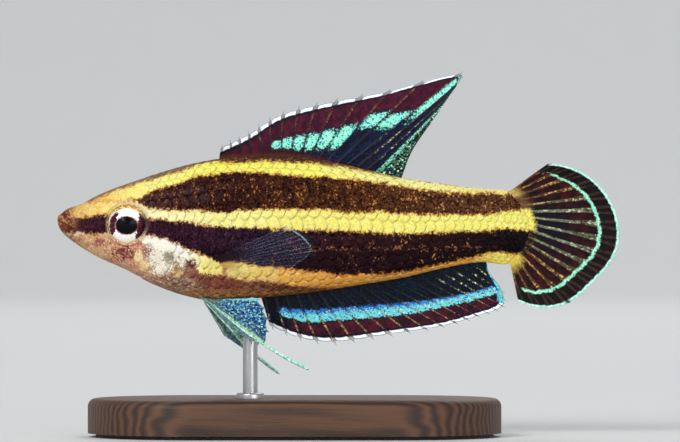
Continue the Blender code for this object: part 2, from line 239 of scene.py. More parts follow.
walnut, tree, shader = finish("oiled_walnut", Specular_IOR_Level=0.36, Coat_Weight=0.06, Coat_Roughness=0.3)
grain_place = millimetres(tree, (0.10, 1.0, 1.0))
bends = {0: grain_place, 1: noise(grain_place, 0.35)}
ring_shape = {"Vector": node(tree, "ShaderNodeVectorMath", bends, operation="ADD"), "Scale": 0.75,
              "Distortion": 2.6, "Detail": 3.0, "Detail Scale": 1.4}
rings = node(tree, "ShaderNodeTexWave", ring_shape, "Fac", wave_type="BANDS", bands_direction="Y")
fibre = noise(millimetres(tree, (0.35, 9.0, 9.0)), 1.3, 4.0, 0.65)
wood = ramp(rings, (0.0, (52, 33, 24)), (0.45, (78, 50, 34)), (1.0, (104, 70, 47)))
dress(shader, Base_Color=blend(fibre * 0.55, wood, (40, 25, 18)),
      Roughness=ramp(fibre, (0.3, 0.62), (0.7, 0.46)))
relief(shader, fibre, 0.03)

bm = bmesh.new()
rim = stadium(bm, base_length, base_width, FELT_THICKNESS, base_thickness - FELT_THICKNESS)
ease(bm, rim, EASED_EDGE, 5)
base = crisp_piece(bm, "walnut_base", walnut)
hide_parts("stand_base")

felt, tree, shader = finish("felt", Roughness=0.95, Sheen_Weight=0.3)
nap = noise(millimetres(tree), 9.0, 3.0)
dress(shader, Base_Color=ramp(nap, (0.3, (34, 36, 34)), (0.7, (62, 64, 60))))
relief(shader, nap, 0.05)
bm = bmesh.new()
stadium(bm, base_length - 2 * FELT_SET_BACK, base_width - 2 * FELT_SET_BACK, 0.0, FELT_THICKNESS)
crisp_piece(bm, "base_felt", felt)

# The rod is drawn stainless steel, pressed into a hole in the base and rounded at its upper end, where
# it is glued into the belly between the pelvic fins. A turned collar hides the hole.

rod_low, rod_high = (Vector(corner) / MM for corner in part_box("stand_rod"))
rod_radius = (rod_high.x - rod_low.x) / 2
rod_x = (rod_low.x + rod_high.x) / 2
INTO_BELLY = 0.8
ROD_EASED = 0.2
COLLAR_RADIUS = 0.95
COLLAR_HEIGHT = 0.35
COLLAR_SUNK = 0.1
COLLAR_EASED = 0.12

steel, tree, shader = finish("drawn_steel", Metallic=1.0, Anisotropic=0.4)
drawn = noise(millimetres(tree, (14.0, 14.0, 0.25)), 1.5, 3.0)
dress(shader, Base_Color=ramp(drawn, (0.3, (150, 151, 153)), (0.7, (206, 206, 208))),
      Roughness=ramp(drawn, (0.3, 0.38), (0.7, 0.2)))
relief(shader, drawn, 0.006)


def turned_bar(bm, radius, bottom, top, eased):
    """A round bar whose upper rim is eased."""
    middle = (top + bottom) / 2
    bmesh.ops.create_cone(bm, cap_ends=True, segments=64, radius1=radius * MM, radius2=radius * MM,
                          depth=(top - bottom) * MM)
    bmesh.ops.translate(bm, vec=Vector((rod_x, 0, middle)) * MM, verts=bm.verts)
    rim = [edge for edge in bm.edges if all(vert.co.z > middle * MM for vert in edge.verts)]
    ease(bm, rim, eased, 4)


bm = bmesh.new()
turned_bar(bm, rod_radius, rod_low.z, rod_high.z + INTO_BELLY, ROD_EASED)
rod = crisp_piece(bm, "steel_rod", steel)
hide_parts("stand_rod")
bm = bmesh.new()
turned_bar(bm, COLLAR_RADIUS, base_thickness - COLLAR_SUNK, base_thickness + COLLAR_HEIGHT, COLLAR_EASED)
crisp_piece(bm, "rod_collar", steel)

# The skin is one closed surface from the lips to the root of the tail fin, in life a thin wet hide over
# muscle. It carries the mouth, nostrils, rims of the eyes and gill covers, and the painted stripes.
# Places on the fish are millimetres behind the snout's tip and above the line through the mouth.

SNOUT_X = -19.0
MOUTH_Z = 14.64
SECTION_POWER = 2.2
SKIN_DEPTH = 0.02
THINNEST = 0.05

# Behind the snout: the back's height, the belly's height, and half the width
BODY_STATIONS = [
    (0.00, 0.16, -0.12, 0.06),
    (0.30, 0.52, -0.85, 0.52),
    (0.75, 0.82, -1.28, 0.80),
    (1.60, 1.10, -1.88, 1.06),
    (2.80, 1.74, -2.58, 1.36),
    (4.60, 2.44, -3.38, 1.74),
    (6.50, 3.06, -4.40, 2.02),
    (9.10, 3.80, -5.26, 2.24),
    (11.50, 4.20, -5.44, 2.32),
    (14.70, 4.31, -5.16, 2.26),
    (17.70, 4.06, -4.80, 2.06),
    (20.10, 3.58, -4.42, 1.80),
    (23.25, 2.84, -3.90, 1.42),
    (26.00, 2.44, -3.26, 1.08),
    (28.50, 2.12, -2.84, 0.82),
    (30.20, 2.04, -3.02, 0.62),
    (32.00, 1.96, -3.05, 0.46),
]
TAIL_END = 30.3
TAIL_END_BULGE = 1.6
TAIL_ROUNDING = 1.6
TAIL_PINCH = 0.35
GILL_TOP = 9.9
GILL_BULGE = 0.85
GILL_THROAT = 1.2
COVER_LENGTH = 2.6
COVER_HEIGHT = 0.17
EYE_BEHIND = 4.74
EYE_ABOVE = -0.27
EYE_RADIUS = 1.30
SOCKET_DEPTH = 0.50
SOCKET_EDGE = (-0.16, 0.05)
NOSTRILS = [(1.70, 0.45, 0.10), (2.80, 0.85, 0.13)]
CHEEK_MIDDLE = (4.2, -1.0)
CHEEK_RADIUS = 3.1
CHEEK_STRETCH = 0.9
CHEEK_BELOW = (0.4, 1.4)
CHEEK_BEHIND = (3.5, 5.0)
SUTURE_END = 0.15
# Features of the flanks and folds of the throat fade out towards the back and the keel
FLANK = (0.25, 0.55)
THROAT = (0.1, 0.3)

# Lines drawn on the side of the head, each from one place to another
MOUTH_LINE = ((-0.30, 0.20), (1.00, -0.62))
JAW_BONE = ((0.75, 0.60), (1.22, -0.60))
CHIN_LINE = ((1.1, -0.85), (3.6, -1.75))
COVER_SUTURE = ((7.3, -2.6), (9.9, -3.1))
THROAT_FOLDS = [((4.6 + 0.2 * k, -3.0 - 0.28 * k), (8.6, -4.15 - 0.27 * k)) for k in range(4)]

# Ridges and furrows beside a feature: the distance from it, the height, and half the width
LIPS = ((0.17, 0.075, 0.13), (0.0, -0.26, 0.065))
EYE_RIM = ((0.11, 0.07, 0.09), (0.30, -0.03, 0.12))
# A nostril's rim and pit have their distance and width as shares of its radius
NOSTRIL = ((1.6, 0.045, 0.5), (0.0, -0.14, 0.8))
JAW_FURROW = (0.0, -0.05, 0.07)
CHIN_FURROW = (0.0, -0.045, 0.12)
CHEEK_FURROW = (0.0, -0.05, 0.12)
SUTURE_FURROW = (0.0, -0.04, 0.08)
THROAT_FURROW = (0.0, -0.035, 0.07)


def curve_through(stations):
    """A smooth function through (position, value, ...) rows, for an array of positions."""
    xs = np.array([row[0] for row in stations], float)
    rows = np.array([row[1:] for row in stations], float)
    order = np.arange(len(xs))
    low, high = np.maximum(order - 1, 0), np.minimum(order + 1, len(xs) - 1)
    slopes = (rows[high] - rows[low]) / (xs[high] - xs[low])[:, None]

    def value(x):
        x = np.clip(np.asarray(x, float), xs[0], xs[-1])
        i = np.clip(np.searchsorted(xs, x, side="right") - 1, 0, len(xs) - 2)
        width = (xs[i + 1] - xs[i])[..., None]
        t = (x - xs[i])[..., None] / width
        start = rows[i] * (1 + 2 * t) * (1 - t) ** 2 + slopes[i] * width * t * (1 - t) ** 2
        end = rows[i + 1] * (3 - 2 * t) * t**2 + slopes[i + 1] * width * (t - 1) * t**2
        return start + end

    return value


body_curve = curve_through([(math.sqrt(row[0]), *row[1:]) for row in BODY_STATIONS])


def body_size(behind):
    """The height of the body's middle, half its height and half its width."""
    sizes = body_curve(np.sqrt(np.maximum(behind, 0.0)))
    back, belly, wide = sizes[..., 0], sizes[..., 1], sizes[..., 2]
    return (back + belly) / 2, (back - belly) / 2, wide


def gill_line(turn):
    """Where the gill cover ends, round the body. A turn of 0 is the back and pi is the throat."""
    throat = np.maximum(-np.cos(turn), 0.0) ** 3
    return GILL_TOP + GILL_BULGE * np.sin(turn) ** 2 - GILL_THROAT * throat


def tail_line(turn):
    return TAIL_END + TAIL_END_BULGE * np.sin(turn) ** 2


def bell(distance, width):
    return np.exp(-((distance / width) ** 2))


def slope_up(value, low, high):
    share = np.clip((value - low) / (high - low), 0, 1)
    return share * share * (3 - 2 * share)


def from_line(behind, above, line):
    """Distance from a line between two places in the side view."""
    start, end = (Vector(place) for place in line)
    run = end - start
    along = ((behind - start.x) * run.x + (above - start.y) * run.y) / run.length_squared
    along = np.clip(along, 0, 1)
    return np.hypot(behind - start.x - along * run.x, above - start.y - along * run.y)


def raised(distance, *shapes):
    """The ridges and furrows at a distance from a feature."""
    return sum(height * bell(distance - away, width) for away, height, width in shapes)


def head_relief(behind, turn, above):
    """How far the head's features stand out of its plain form, in millimetres."""
    side = np.abs(np.sin(turn))
    mouth = raised(from_line(behind, above, MOUTH_LINE), *LIPS)
    mouth = mouth + raised(from_line(behind, above, JAW_BONE), JAW_FURROW)
    flat_features = raised(from_line(behind, above, CHIN_LINE), CHIN_FURROW)
    from_eye = np.hypot(behind - EYE_BEHIND, above - EYE_ABOVE) - EYE_RADIUS
    flat_features = flat_features + raised(from_eye, *EYE_RIM)
    flat_features = flat_features - SOCKET_DEPTH * (1 - slope_up(from_eye, *SOCKET_EDGE))
    for at, up, radius in NOSTRILS:
        shapes = [(away * radius, height, width * radius) for away, height, width in NOSTRIL]
        flat_features = flat_features + raised(np.hypot(behind - at, above - up), *shapes)
    ahead = gill_line(turn) - behind
    cover = COVER_HEIGHT * np.clip(1 - ahead / COVER_LENGTH, 0, 1) ** 2 * side**2 * (ahead > 0)
    cheek_reach = np.hypot((behind - CHEEK_MIDDLE[0]) * CHEEK_STRETCH, above - CHEEK_MIDDLE[1])
    cheek = raised(np.abs(cheek_reach - CHEEK_RADIUS), CHEEK_FURROW)
    cheek = cheek * slope_up(-above, *CHEEK_BELOW) * slope_up(behind, *CHEEK_BEHIND)
    cheek = cheek + raised(from_line(behind, above, COVER_SUTURE), SUTURE_FURROW) * (ahead > SUTURE_END)
    throat = sum(raised(from_line(behind, above, fold), THROAT_FURROW) for fold in THROAT_FOLDS)
    flat_features = flat_features * slope_up(side, *FLANK)
    return mouth + flat_features + cover + cheek + throat * slope_up(side, *THROAT)


def rounded(part):
    """A sine or cosine swollen to the body's squarish oval."""
    return np.sign(part) * np.abs(part) ** (2 / SECTION_POWER)


def skin_place(behind, turn, lift=0.0):
    """A place on the skin, stood off from it by the lift, in millimetres in the model's frame."""
    middle, tall, wide = body_size(behind)
    pinch = np.clip(1 - (tail_line(turn) - behind) / TAIL_ROUNDING, 0, 1)
    wide = wide * np.sqrt(np.maximum(1 - pinch**2, 0.0)) * (1 - TAIL_PINCH * pinch)
    side, rise = wide * rounded(np.sin(turn)), tall * rounded(np.cos(turn))
    outward = lift - SKIN_DEPTH + head_relief(behind, turn, middle + rise)
    slant_side, slant_up = side / np.maximum(wide, THINNEST) ** 2, rise / np.maximum(tall, THINNEST) ** 2
    outward = outward / np.maximum(np.hypot(slant_side, slant_up), 1e-6)
    rise = rise + outward * slant_up
    return np.stack([behind + SNOUT_X, side + outward * slant_side, middle + rise + MOUTH_Z], axis=-1)


# Each stripe's lower edge down the flank, as places behind the snout and above the mouth line
STRIPE_EDGES = {
    "back": [
        (0, 1), (1.2, 0.9), (1.9, 1.05), (2.8, 1.5), (4, 1.98), (5.5, 2.48), (6.9, 2.9), (8.9, 3.47),
        (9.9, 3.8), (11, 3.88), (12.3, 3.85), (14, 3.92), (15.7, 3.93), (17.7, 3.78), (19.7, 3.5),
        (21.8, 3.14), (23.1, 2.86), (24.8, 2.64), (26.5, 2.46), (28.2, 2.3), (29.9, 2.25), (32, 2.25),
    ],
    "upper_yellow": [
        (0, 1), (4.5, 1.3), (5.5, 1.45), (6.2, 1.85), (6.9, 2.1), (7.9, 2.34), (8.9, 2.77), (9.9, 3),
        (11, 3.16), (14, 3.22), (15.7, 2.99), (17.7, 2.91), (19.7, 2.77), (21.8, 2.5), (23.1, 2.33),
        (24.8, 2), (26.5, 1.87), (28.2, 1.79), (29.9, 1.78), (32, 1.6),
    ],
    "upper_dark": [
        (0, 1), (4.5, 1.3), (5.5, 1.15), (6, 0.82), (6.9, 0.72), (8.4, 0.66), (9.9, 0.62), (11, 0.43),
        (12.3, 0.54), (14, 0.7), (15.7, 0.65), (17.7, 0.75), (19.7, 0.5), (21.8, 0.5), (23.1, 0.38),
        (26.5, 0.36), (29.4, 0.37), (30.3, 0.56), (32, 0.7),
    ],
    "middle_cream": [
        (0, 0.35), (1, 0.2), (1.8, 0.14), (3.2, 0.42), (4.1, 0), (6.2, 0.06), (7.9, -0.1), (8.9, -0.14),
        (9.9, -0.38), (12.3, -0.51), (14, -0.56), (15.7, -0.6), (17.7, -0.74), (19.7, -0.76), (22.5, -0.9),
        (26.5, -0.82), (28.6, -0.74), (29.9, -0.58), (31, -0.6), (32, -0.8),
    ],
    "lower_dark": [
        (0, -0.7), (1.5, -0.85), (2.8, -0.98), (4.1, -0.78), (6.2, -1.1), (6.9, -1.15), (7.9, -1.5),
        (8.9, -2), (9.9, -2.35), (10.8, -2.85), (12.3, -2.88), (14, -3.13), (15.7, -3.34), (17.7, -3.56),
        (19.7, -3.7), (21.8, -3.65), (23.1, -3.58), (24.8, -3.25), (26.5, -2.88), (28.2, -2.52),
        (29.7, -2.18), (30.6, -2.3), (32, -2.7),
    ],
    "lower_light": [
        (0, -1), (5.4, -1.2), (6.2, -2), (6.9, -2.05), (7.9, -2.35), (8.9, -2.85), (9.9, -3.62),
        (11, -3.68), (12.3, -3.95), (14, -4.08), (15.7, -4.36), (17.7, -4.58), (19.7, -4.68), (21.8, -4.55),
        (23.1, -4.5), (26, -4.2), (32, -4),
    ],
}
edge_curves = [curve_through(points) for points in STRIPE_EDGES.values()]

FISH_LENGTH = 32.0
# The hide's colours along the fish, as places behind the snout with red, green and blue
HIDE_COLOURS = {
    "back": [
        (0, 120, 98, 82), (4, 134, 116, 92), (8.6, 122, 104, 80), (11.8, 84, 48, 36), (16, 70, 36, 34),
        (23, 150, 100, 60), (32, 186, 150, 80),
    ],
    "yellow": [
        (0, 132, 98, 72), (1.3, 206, 150, 84), (3, 240, 196, 96), (5, 248, 236, 128), (7, 249, 246, 136),
        (10.5, 249, 246, 96), (17, 249, 247, 104), (22, 252, 248, 152), (30, 244, 234, 132),
    ],
    "dark_upper": [(5, 34, 8, 14), (11, 22, 5, 10), (16, 30, 9, 11), (22, 42, 18, 12), (29, 50, 25, 18)],
    "brown_upper": [(5, 82, 40, 34), (12, 76, 36, 26), (20, 104, 60, 30), (29, 116, 74, 48)],
    "gold_upper": [(5, 160, 104, 60), (12, 168, 112, 52), (20, 186, 132, 62), (29, 190, 144, 88)],
    "cream": [
        (0, 196, 140, 84), (3, 244, 214, 110), (6.5, 252, 250, 190), (10, 250, 250, 160),
        (16, 252, 244, 124), (31, 248, 246, 116),
    ],
    "dark_lower": [
        (0, 128, 92, 70), (1, 104, 66, 56), (1.7, 36, 12, 22), (6, 24, 6, 18), (13, 22, 8, 24),
        (18, 24, 8, 16), (27, 26, 10, 14), (30.4, 8, 4, 7),
    ],
    "brown_lower": [(2, 74, 34, 46), (8, 72, 30, 50), (14, 54, 34, 52), (20, 68, 34, 36), (30, 30, 18, 22)],
    "gold_lower": [
        (4, 110, 52, 70), (12, 90, 66, 96), (17, 150, 100, 70), (26, 190, 138, 76), (30, 60, 40, 40),
    ],
    "light": [
        (5.5, 255, 252, 226), (8.3, 255, 254, 246), (10, 254, 244, 152), (13, 255, 234, 122),
        (15.5, 254, 190, 86), (19, 250, 172, 58), (27.6, 246, 176, 58), (29.6, 246, 230, 96),
    ],
    "belly": [
        (0, 150, 112, 84), (2.5, 208, 162, 118), (5, 214, 146, 118), (8, 150, 116, 98), (10, 140, 80, 72),
        (13, 128, 74, 60), (15.5, 100, 56, 44), (20, 150, 92, 48),
    ],
    "belly_lit": [
        (0, 230, 190, 130), (3, 226, 184, 140), (8, 206, 180, 140), (11, 176, 124, 100), (15, 168, 112, 70),
    ],
    "belly_dim": [
        (0.5, 110, 70, 60), (2.5, 166, 104, 86), (5, 172, 72, 76), (7, 122, 66, 70), (11, 96, 46, 44),
        (15.5, 52, 28, 32),
    ],
}

# Blots on the cheek: behind the snout, above the mouth line, half length, half height, and colour
CHEEK_SPOTS = [
    (0.52, 0.46, 0.30, 0.34, (84, 34, 44)),
    (0.50, -0.62, 0.62, 0.34, (116, 54, 40)),
    (0.95, -0.74, 0.40, 0.18, (70, 36, 34)),
    (2.95, -1.52, 0.48, 0.22, (150, 84, 78)),
    (4.60, -2.25, 0.85, 0.38, (112, 30, 46)),
    (5.50, -2.50, 0.26, 0.40, (255, 236, 176)),
    (5.85, -3.05, 0.36, 0.36, (250, 220, 150)),
    (6.35, -2.20, 0.42, 0.50, (118, 42, 52)),
    (7.15, -2.50, 0.90, 0.84, (255, 252, 230)),
    (7.55, -2.48, 0.30, 0.34, (138, 132, 108)),
    (7.05, -3.35, 0.66, 0.34, (255, 252, 230)),
    (8.45, -2.80, 0.42, 0.40, (255, 252, 230)),
    (8.15, -3.60, 0.34, 0.24, (236, 196, 132)),
    (9.05, -2.95, 0.40, 0.28, (98, 30, 40)),
    (10.30, -3.22, 0.66, 0.38, (255, 240, 136)),
]


def triple(*values):
    """Up to three values a point, stacked to be stored as one triple."""
    rest = [np.zeros_like(values[0])] * (3 - len(values))
    return np.stack([*values, *rest], -1)


def give_values(mesh, name, values):
    """Stores a triple for each vertex of a mesh."""
    layer = mesh.attributes.new(name, "FLOAT_VECTOR", "POINT")
    layer.data.foreach_set("vector", np.asarray(values, np.float32).ravel())


def give_marks(mesh):
    """Stores what the markings are read from: the heights over the stripes' lower edges, then the place
    behind the snout and above the mouth line, and the distance from the eye."""
    spots = np.array([vert.co for vert in mesh.vertices]) / MM
    behind, above = spots[:, 0] - SNOUT_X, spots[:, 2] - MOUTH_Z
    over = [above - curve(behind)[..., 0] for curve in edge_curves]
    give_values(mesh, "stripes_upper", triple(*over[:3]))
    give_values(mesh, "stripes_lower", triple(*over[3:]))
    eye = np.hypot(behind - EYE_BEHIND, above - EYE_ABOVE)
    give_values(mesh, "marks", triple(behind, above, eye))


def value_of(tree, name):
    """The three numbers that a piece stores under that name."""
    read = node(tree, "ShaderNodeAttribute", output="Vector", attribute_name=name)
    split = node(tree, "ShaderNodeSeparateXYZ", {0: read}).socket.node
    return [Pattern(part) for part in split.outputs]


def cells(place, scale):
    """A different number from 0 to 1 for each small pigment cell."""
    found = node(place.tree, "ShaderNodeTexVoronoi", {"Vector": place, "Scale": scale}, output="Color")
    return node(place.tree, "ShaderNodeSeparateColor", {0: found})


def between(value, low, high, soft):
    """1 where the value lies between the two limits, and 0 away from them."""
    return fade(value, low - soft, low + soft) * fade(value, high + soft, high - soft)


def layered(colour, *layers):
    """A colour with others laid over it in turn, each given as (share, colour)."""
    for share, over in layers:
        colour = blend(share, colour, over)
    return colour


def striped_hide(name, scaled):
    """The fish's hide. On scales the rim of each is darkened with painted shade."""
    made, tree, shader = finish(name, Specular_IOR_Level=0.035, Coat_Weight=0.02, Coat_Roughness=0.12)
    place = millimetres(tree)
    over_edges = value_of(tree, "stripes_upper") + value_of(tree, "stripes_lower")
    behind, above, eye = value_of(tree, "marks")
    # The first stored value of a scale is its share of painted shade at the rim, the second its own tint
    rim, tint = value_of(tree, "scale")[:2]
    coarse = noise(place, 1.7, 2.0, 0.6)
    fine = noise(place, 7.5, 3.0, 0.7)
    patchy = noise(place, 2.9, 5.0, 0.80)
    grain = noise(place, 12.0, 2.0, 0.7)
    cell = cells(place, 10.0)
    ragged = (coarse - 0.5) * 0.42 + (noise(place, 4.6, 4.0, 0.80) - 0.5) * 0.94 + tint * 0.04
    drift = noise(millimetres(tree, (1.0, 1.0, 0.4)), 2.4, 3.0, 0.6)
    scatter = cells(millimetres(tree, (1.0, 1.0, 0.75)), 12.0) + drift * 1.3
    along = behind / FISH_LENGTH
    tones = [ramp(along, *((at / FISH_LENGTH, colour) for at, *colour in stops))
             for stops in HIDE_COLOURS.values()]
    back, yellow, dark_upper, brown_upper, gold_upper, cream = tones[:6]
    dark_lower, brown_lower, gold_lower, light, belly, belly_lit, belly_dim = tones[6:]

    brown_share = fade(scatter, 0.75, 1.55) * 0.9
    back = layered(back, (fade(scatter, 1.05, 1.45) * 0.5, (88, 66, 56)),
                   (fade(scatter, 1.50, 1.66) * 0.6, (206, 176, 110)))
    dark_upper = layered(dark_upper, (brown_share, brown_upper), (fade(scatter, 1.57, 1.70), gold_upper))
    mid_row = between(above + (coarse - 0.5) * 0.7, -2.08, -1.74, 0.06) * between(behind, 16.0, 29.0, 1.5)
    dots = fade(cells(place, 7.0), 0.76, 0.84) * fade(fine, 0.44, 0.56) * mid_row
    dark_lower = layered(
        dark_lower,
        (brown_share * (0.45 + fade(above, -2.15, -1.55) * 0.5), brown_lower),
        (dots * 0.62, (186, 122, 70)),
        (fade(scatter, 1.66, 1.78), gold_lower),
    )
    belly = layered(
        belly,
        (fade(patchy, 0.50, 0.64), belly_lit),
        (fade(patchy, 0.47, 0.36), belly_dim),
        (fade(fine, 0.50, 0.66) * 0.45, belly_lit),
        (fade(fine, 0.46, 0.32) * 0.45, belly_dim),
        (fade(cells(place, 8.0), 0.80, 0.95) * 0.5 * fade(behind, 11.5, 8.5), (250, 230, 190)),
    )
    glint = fade(cell, 0.66, 0.95) * 0.32
    amber = fade(cell, 0.36, 0.05) * 0.30
    yellow, cream, light = (
        layered(stripe, (glint, (255, 254, 226)), (share, (232, 158, 74)))
        for stripe, share in ((yellow, amber), (cream, amber), (light, amber * fade(behind, 8.5, 12.0)))
    )
    colour = back
    for over, stripe in zip(over_edges, (yellow, dark_upper, cream, dark_lower, light, belly)):
        past = ragged - over
        fringe = between(past, -0.08, 0.08, 0.05) * 0.45
        colour = layered(colour, (fade(past, -0.07, 0.07), stripe), (fringe, (206, 128, 62)))

    above_light = over_edges[5] - ragged
    below_dark = ragged - over_edges[4]
    flush = between(behind, 8.4, 12.6, 0.8) * between(above_light, -1.05, -0.02, 0.15)
    keel = fade(above, -4.45, -5.05) * fade(behind, 7.0, 9.5) * fade(patchy + fine, 0.80, 1.12)
    faded = between(behind, 11.2, 14.8, 0.5) * between(above_light, -0.08, 0.30, 0.12)
    parting = between(behind + ragged * 0.3, 11.14, 11.42, 0.09) * fade(below_dark, -0.1, 0.1)
    parting = parting * fade(above_light, -0.1, 0.1)
    ring = eye + ragged * 0.16
    behind_eye = fade(behind - EYE_BEHIND, 0.95, 1.2) * between(above - EYE_ABOVE, -0.45, 0.75, 0.25)
    ring_colour = blend(fade(fine, 0.42, 0.58), (150, 104, 76), (244, 216, 160))
    ring_colour = blend(behind_eye * 0.85, ring_colour, (58, 46, 56))
    snout = fade(behind + ragged, 1.45, 0.75)
    lip_colour = blend(fade(patchy + fine, 0.92, 1.12), (88, 40, 38), (206, 150, 92))
    colour = layered(
        colour,
        (flush * 0.55, blend(cell, (84, 30, 30), (150, 78, 56))),
        (keel * 0.7, (198, 146, 76)),
        (faded * 0.55, blend(cell, (222, 160, 106), (255, 222, 136))),
        (parting * 0.8, blend(cell, (124, 58, 56), (206, 132, 104))),
        (between(ring, 1.20, 1.42, 0.06) * (0.5 + cell * 0.4), ring_colour),
        (between(ring, 1.44, 1.52, 0.05) * 0.35, (112, 66, 56)),
        (snout * 0.75, lip_colour),
    )
    mottle = (fine + patchy - 1.0) * 7.5
    solid = 0.76 + cell * 0.24
    for at, up, half_length, half_height, blot in CHEEK_SPOTS:
        away = ((behind - at) / half_length) ** 2.0 + ((above - up) / half_height) ** 2.0 + mottle
        colour = blend(fade(away, 1.35, 0.75) * solid, colour, blot)

    if scaled:
        # Painted shade darkens the rim of each scale, where the plates overlap
        colour = blend(fade(rim, 0.55, 1.0) * 0.16, colour, (120, 66, 40), "MULTIPLY")
    shading = ramp(grain, (0.25, (220.6, 217.8, 217.8)), (0.75, 1.0))
    dress(shader, Base_Color=blend(1.0, colour, shading, "MULTIPLY"),
          Roughness=ramp(fine, (0.3, 0.30), (0.7, 0.46)))
    relief(shader, fine + grain * 0.5, 0.02, 0.6)
    return made


RINGS = 440
ROUND = 192
HEAD_SHARE = 0.56
HEAD_END = 10.4
SNOUT_TIP = (SNOUT_X - 0.02, 0.0, MOUTH_Z + 0.02)
SEAM = 2e-6


def ring_place(share, turn):
    """Rings stand closest at the snout, then evenly from the gill cover on to the tail's round end."""
    root = math.sqrt(HEAD_END) * share / HEAD_SHARE
    rest = (share - HEAD_SHARE) / (1 - HEAD_SHARE)
    return np.where(share < HEAD_SHARE, root**2, HEAD_END + (tail_line(turn) - HEAD_END) * rest)


bm = bmesh.new()
grid = bmesh.ops.create_grid(bm, x_segments=RINGS, y_segments=ROUND, size=1.0)["verts"]
square = np.array([vert.co for vert in grid])
share = (square[:, 0] + 1) / 2
turn = (square[:, 1] + 1) * math.pi
spots = skin_place(ring_place(share, turn), turn)
spots[share < 0.5 / RINGS] = SNOUT_TIP
for vert, spot in zip(grid, spots):
    vert.co = Vector(spot) * MM
bmesh.ops.remove_doubles(bm, verts=bm.verts, dist=SEAM)
skin = piece_from(mesh_from(bm, "skin"), striped_hide("striped_skin", False))
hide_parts("head", "trunk", "tail")
give_marks(skin.data)

# The eyes are balls set into the head, with a silvery iris that the dark stripe crosses in front of and
# behind the black pupil, a thin red rim round the pupil, and a clear wet cornea over all.

SIDES = {"left": -1, "right": 1}
EYE_OUT = 1.30
EYE_SIDE_RADIUS = 0.66
IRIS_DROP = 0.15
PUPIL_CENTRE = (-0.03, -0.10)
PUPIL_RADII = (0.70, 0.565)
CORNEA_RISE = 0.06
CORNEA_RADIUS = 0.42


def reach_from(across, upward):
    return maths("SQRT", across**2.0 + upward**2.0)


iris, tree, shader = finish("iris", Roughness=0.25, Specular_IOR_Level=0.05, Coat_Weight=0.09,
                            Coat_Roughness=0.03)
fore, _, up = value_of(tree, "ball")
flecks = noise(millimetres(tree), 7.0, 3.0, 0.6)
uneven = flecks - 0.5
pupil = reach_from((fore - PUPIL_CENTRE[0]) / PUPIL_RADII[0], (up - PUPIL_CENTRE[1]) / PUPIL_RADII[1])
pupil = pupil + uneven * 0.25
radius = reach_from(fore, up + IRIS_DROP) + uneven * 0.30
leaned = fore + uneven * 0.55 - up * 0.18
level = up - uneven * 0.55
front_bar = fade(leaned, -0.69, -0.76) * between(level, -0.72, 0.80, 0.08)
rear_bar = fade(leaned, 0.66, 0.75) * between(level, -0.98, 0.80, 0.10)
dark_lid = fade(fore, 0.85, 1.05) * between(up, -0.60, 0.65, 0.15)
lid = layered(
    blend(fade(flecks, 0.42, 0.58), (150, 100, 74), (248, 216, 130)),
    (dark_lid * 0.85, (58, 44, 54)),
    (fade(fore, -0.80, -0.98) * 0.7, (232, 222, 206)),
)
dress(shader, Base_Color=layered(
    blend(fade(flecks, 0.35, 0.6), (244, 240, 232), (255, 255, 252)),
    (fade(maths("MAXIMUM", front_bar, rear_bar), 0.42, 0.58),
     blend(fade(flecks, 0.4, 0.7), (46, 20, 36), (98, 40, 52))),
    (fade(radius, 1.17, 1.24), lid),
    (fade(pupil, 1.19, 1.10) * 0.8, (150, 48, 34)),
    (fade(pupil, 1.09, 1.02), (6, 7, 12)),
))

for side_name, hand in SIDES.items():
    bm = bmesh.new()
    bmesh.ops.create_uvsphere(bm, u_segments=64, v_segments=40, radius=1.0)
    bmesh.ops.rotate(bm, matrix=Matrix.Rotation(math.pi / 2, 3, "X"), verts=bm.verts)
    bmesh.ops.scale(bm, vec=(EYE_RADIUS, EYE_SIDE_RADIUS, EYE_RADIUS), verts=bm.verts)
    for vert in bm.verts:
        if vert.co.y * hand > 0:
            reach = math.hypot(vert.co.x - PUPIL_CENTRE[0], vert.co.z - PUPIL_CENTRE[1])
            vert.co.y += hand * CORNEA_RISE * bell(reach, CORNEA_RADIUS)
    ball = [tuple(vert.co) for vert in bm.verts]
    shift = Vector((SNOUT_X + EYE_BEHIND, hand * EYE_OUT, MOUTH_Z + EYE_ABOVE))
    bmesh.ops.translate(bm, vec=shift, verts=bm.verts)
    bmesh.ops.scale(bm, vec=(MM, MM, MM), verts=bm.verts)
    eye = piece_from(mesh_from(bm, f"eyeball_{side_name}"), iris)
    give_values(eye.data, "ball", ball)
    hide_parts(f"eye_{side_name}")

# The scales are thin, horny plates rooted in the skin, in rows that run along the body. Each lies over
# the root of the ones behind it, with its round free edge towards the tail.

ROWS = 15
SCALE_FRONT = 5.6
LEAD_IN = 1.0
STAGGER = 0.25
THROAT_SET_BACK = 0.9
SCALE_END_GAP = 0.25
SCALE_PITCH = curve_through([(0, 0.42), (7.5, 0.55), (10.5, 0.76), (17, 0.78), (25, 0.68), (29.5, 0.46),
                             (32, 0.34)])
SCALE_LAP = 1.75
SCALE_SPREAD = 1.42
SCALE_THICK = 0.018
SCALE_RISE = 0.042
RISE_POWER = 0.8
ROOT_SUNK = 0.03
SIDES_SUNK = 0.035
SIDES_BACK = 0.05
TIP_SUNK = 0.012
ROUND_FROM = 0.52
ROUND_POWER = 2.2
ROOT_WIDTH = 0.62
TIP_WIDTH = 0.12
INNER_SHARE = 0.2
SCALE_TILT = 0.03
SCALE_GROWTH = (0.95, 1.06)
EYE_SURROUND = 1.9
HEAD_LENGTH = 9.0
LOWEST_ON_HEAD = math.radians(150)
LOWEST_BEHIND = math.radians(179)
PATCH = 0.003
UNWRAP_LENGTH = 40
UNWRAP_START = 0.1
UNWRAP_HALF = 0.45
# A plate's rows of points from its root to its tip, closest where its end is round
PLATE_ROWS = (0.0, 0.38, 0.68, 0.87, 1.0)
LENGTH_STEPS = len(PLATE_ROWS) - 1
WIDTH_STEPS = 4

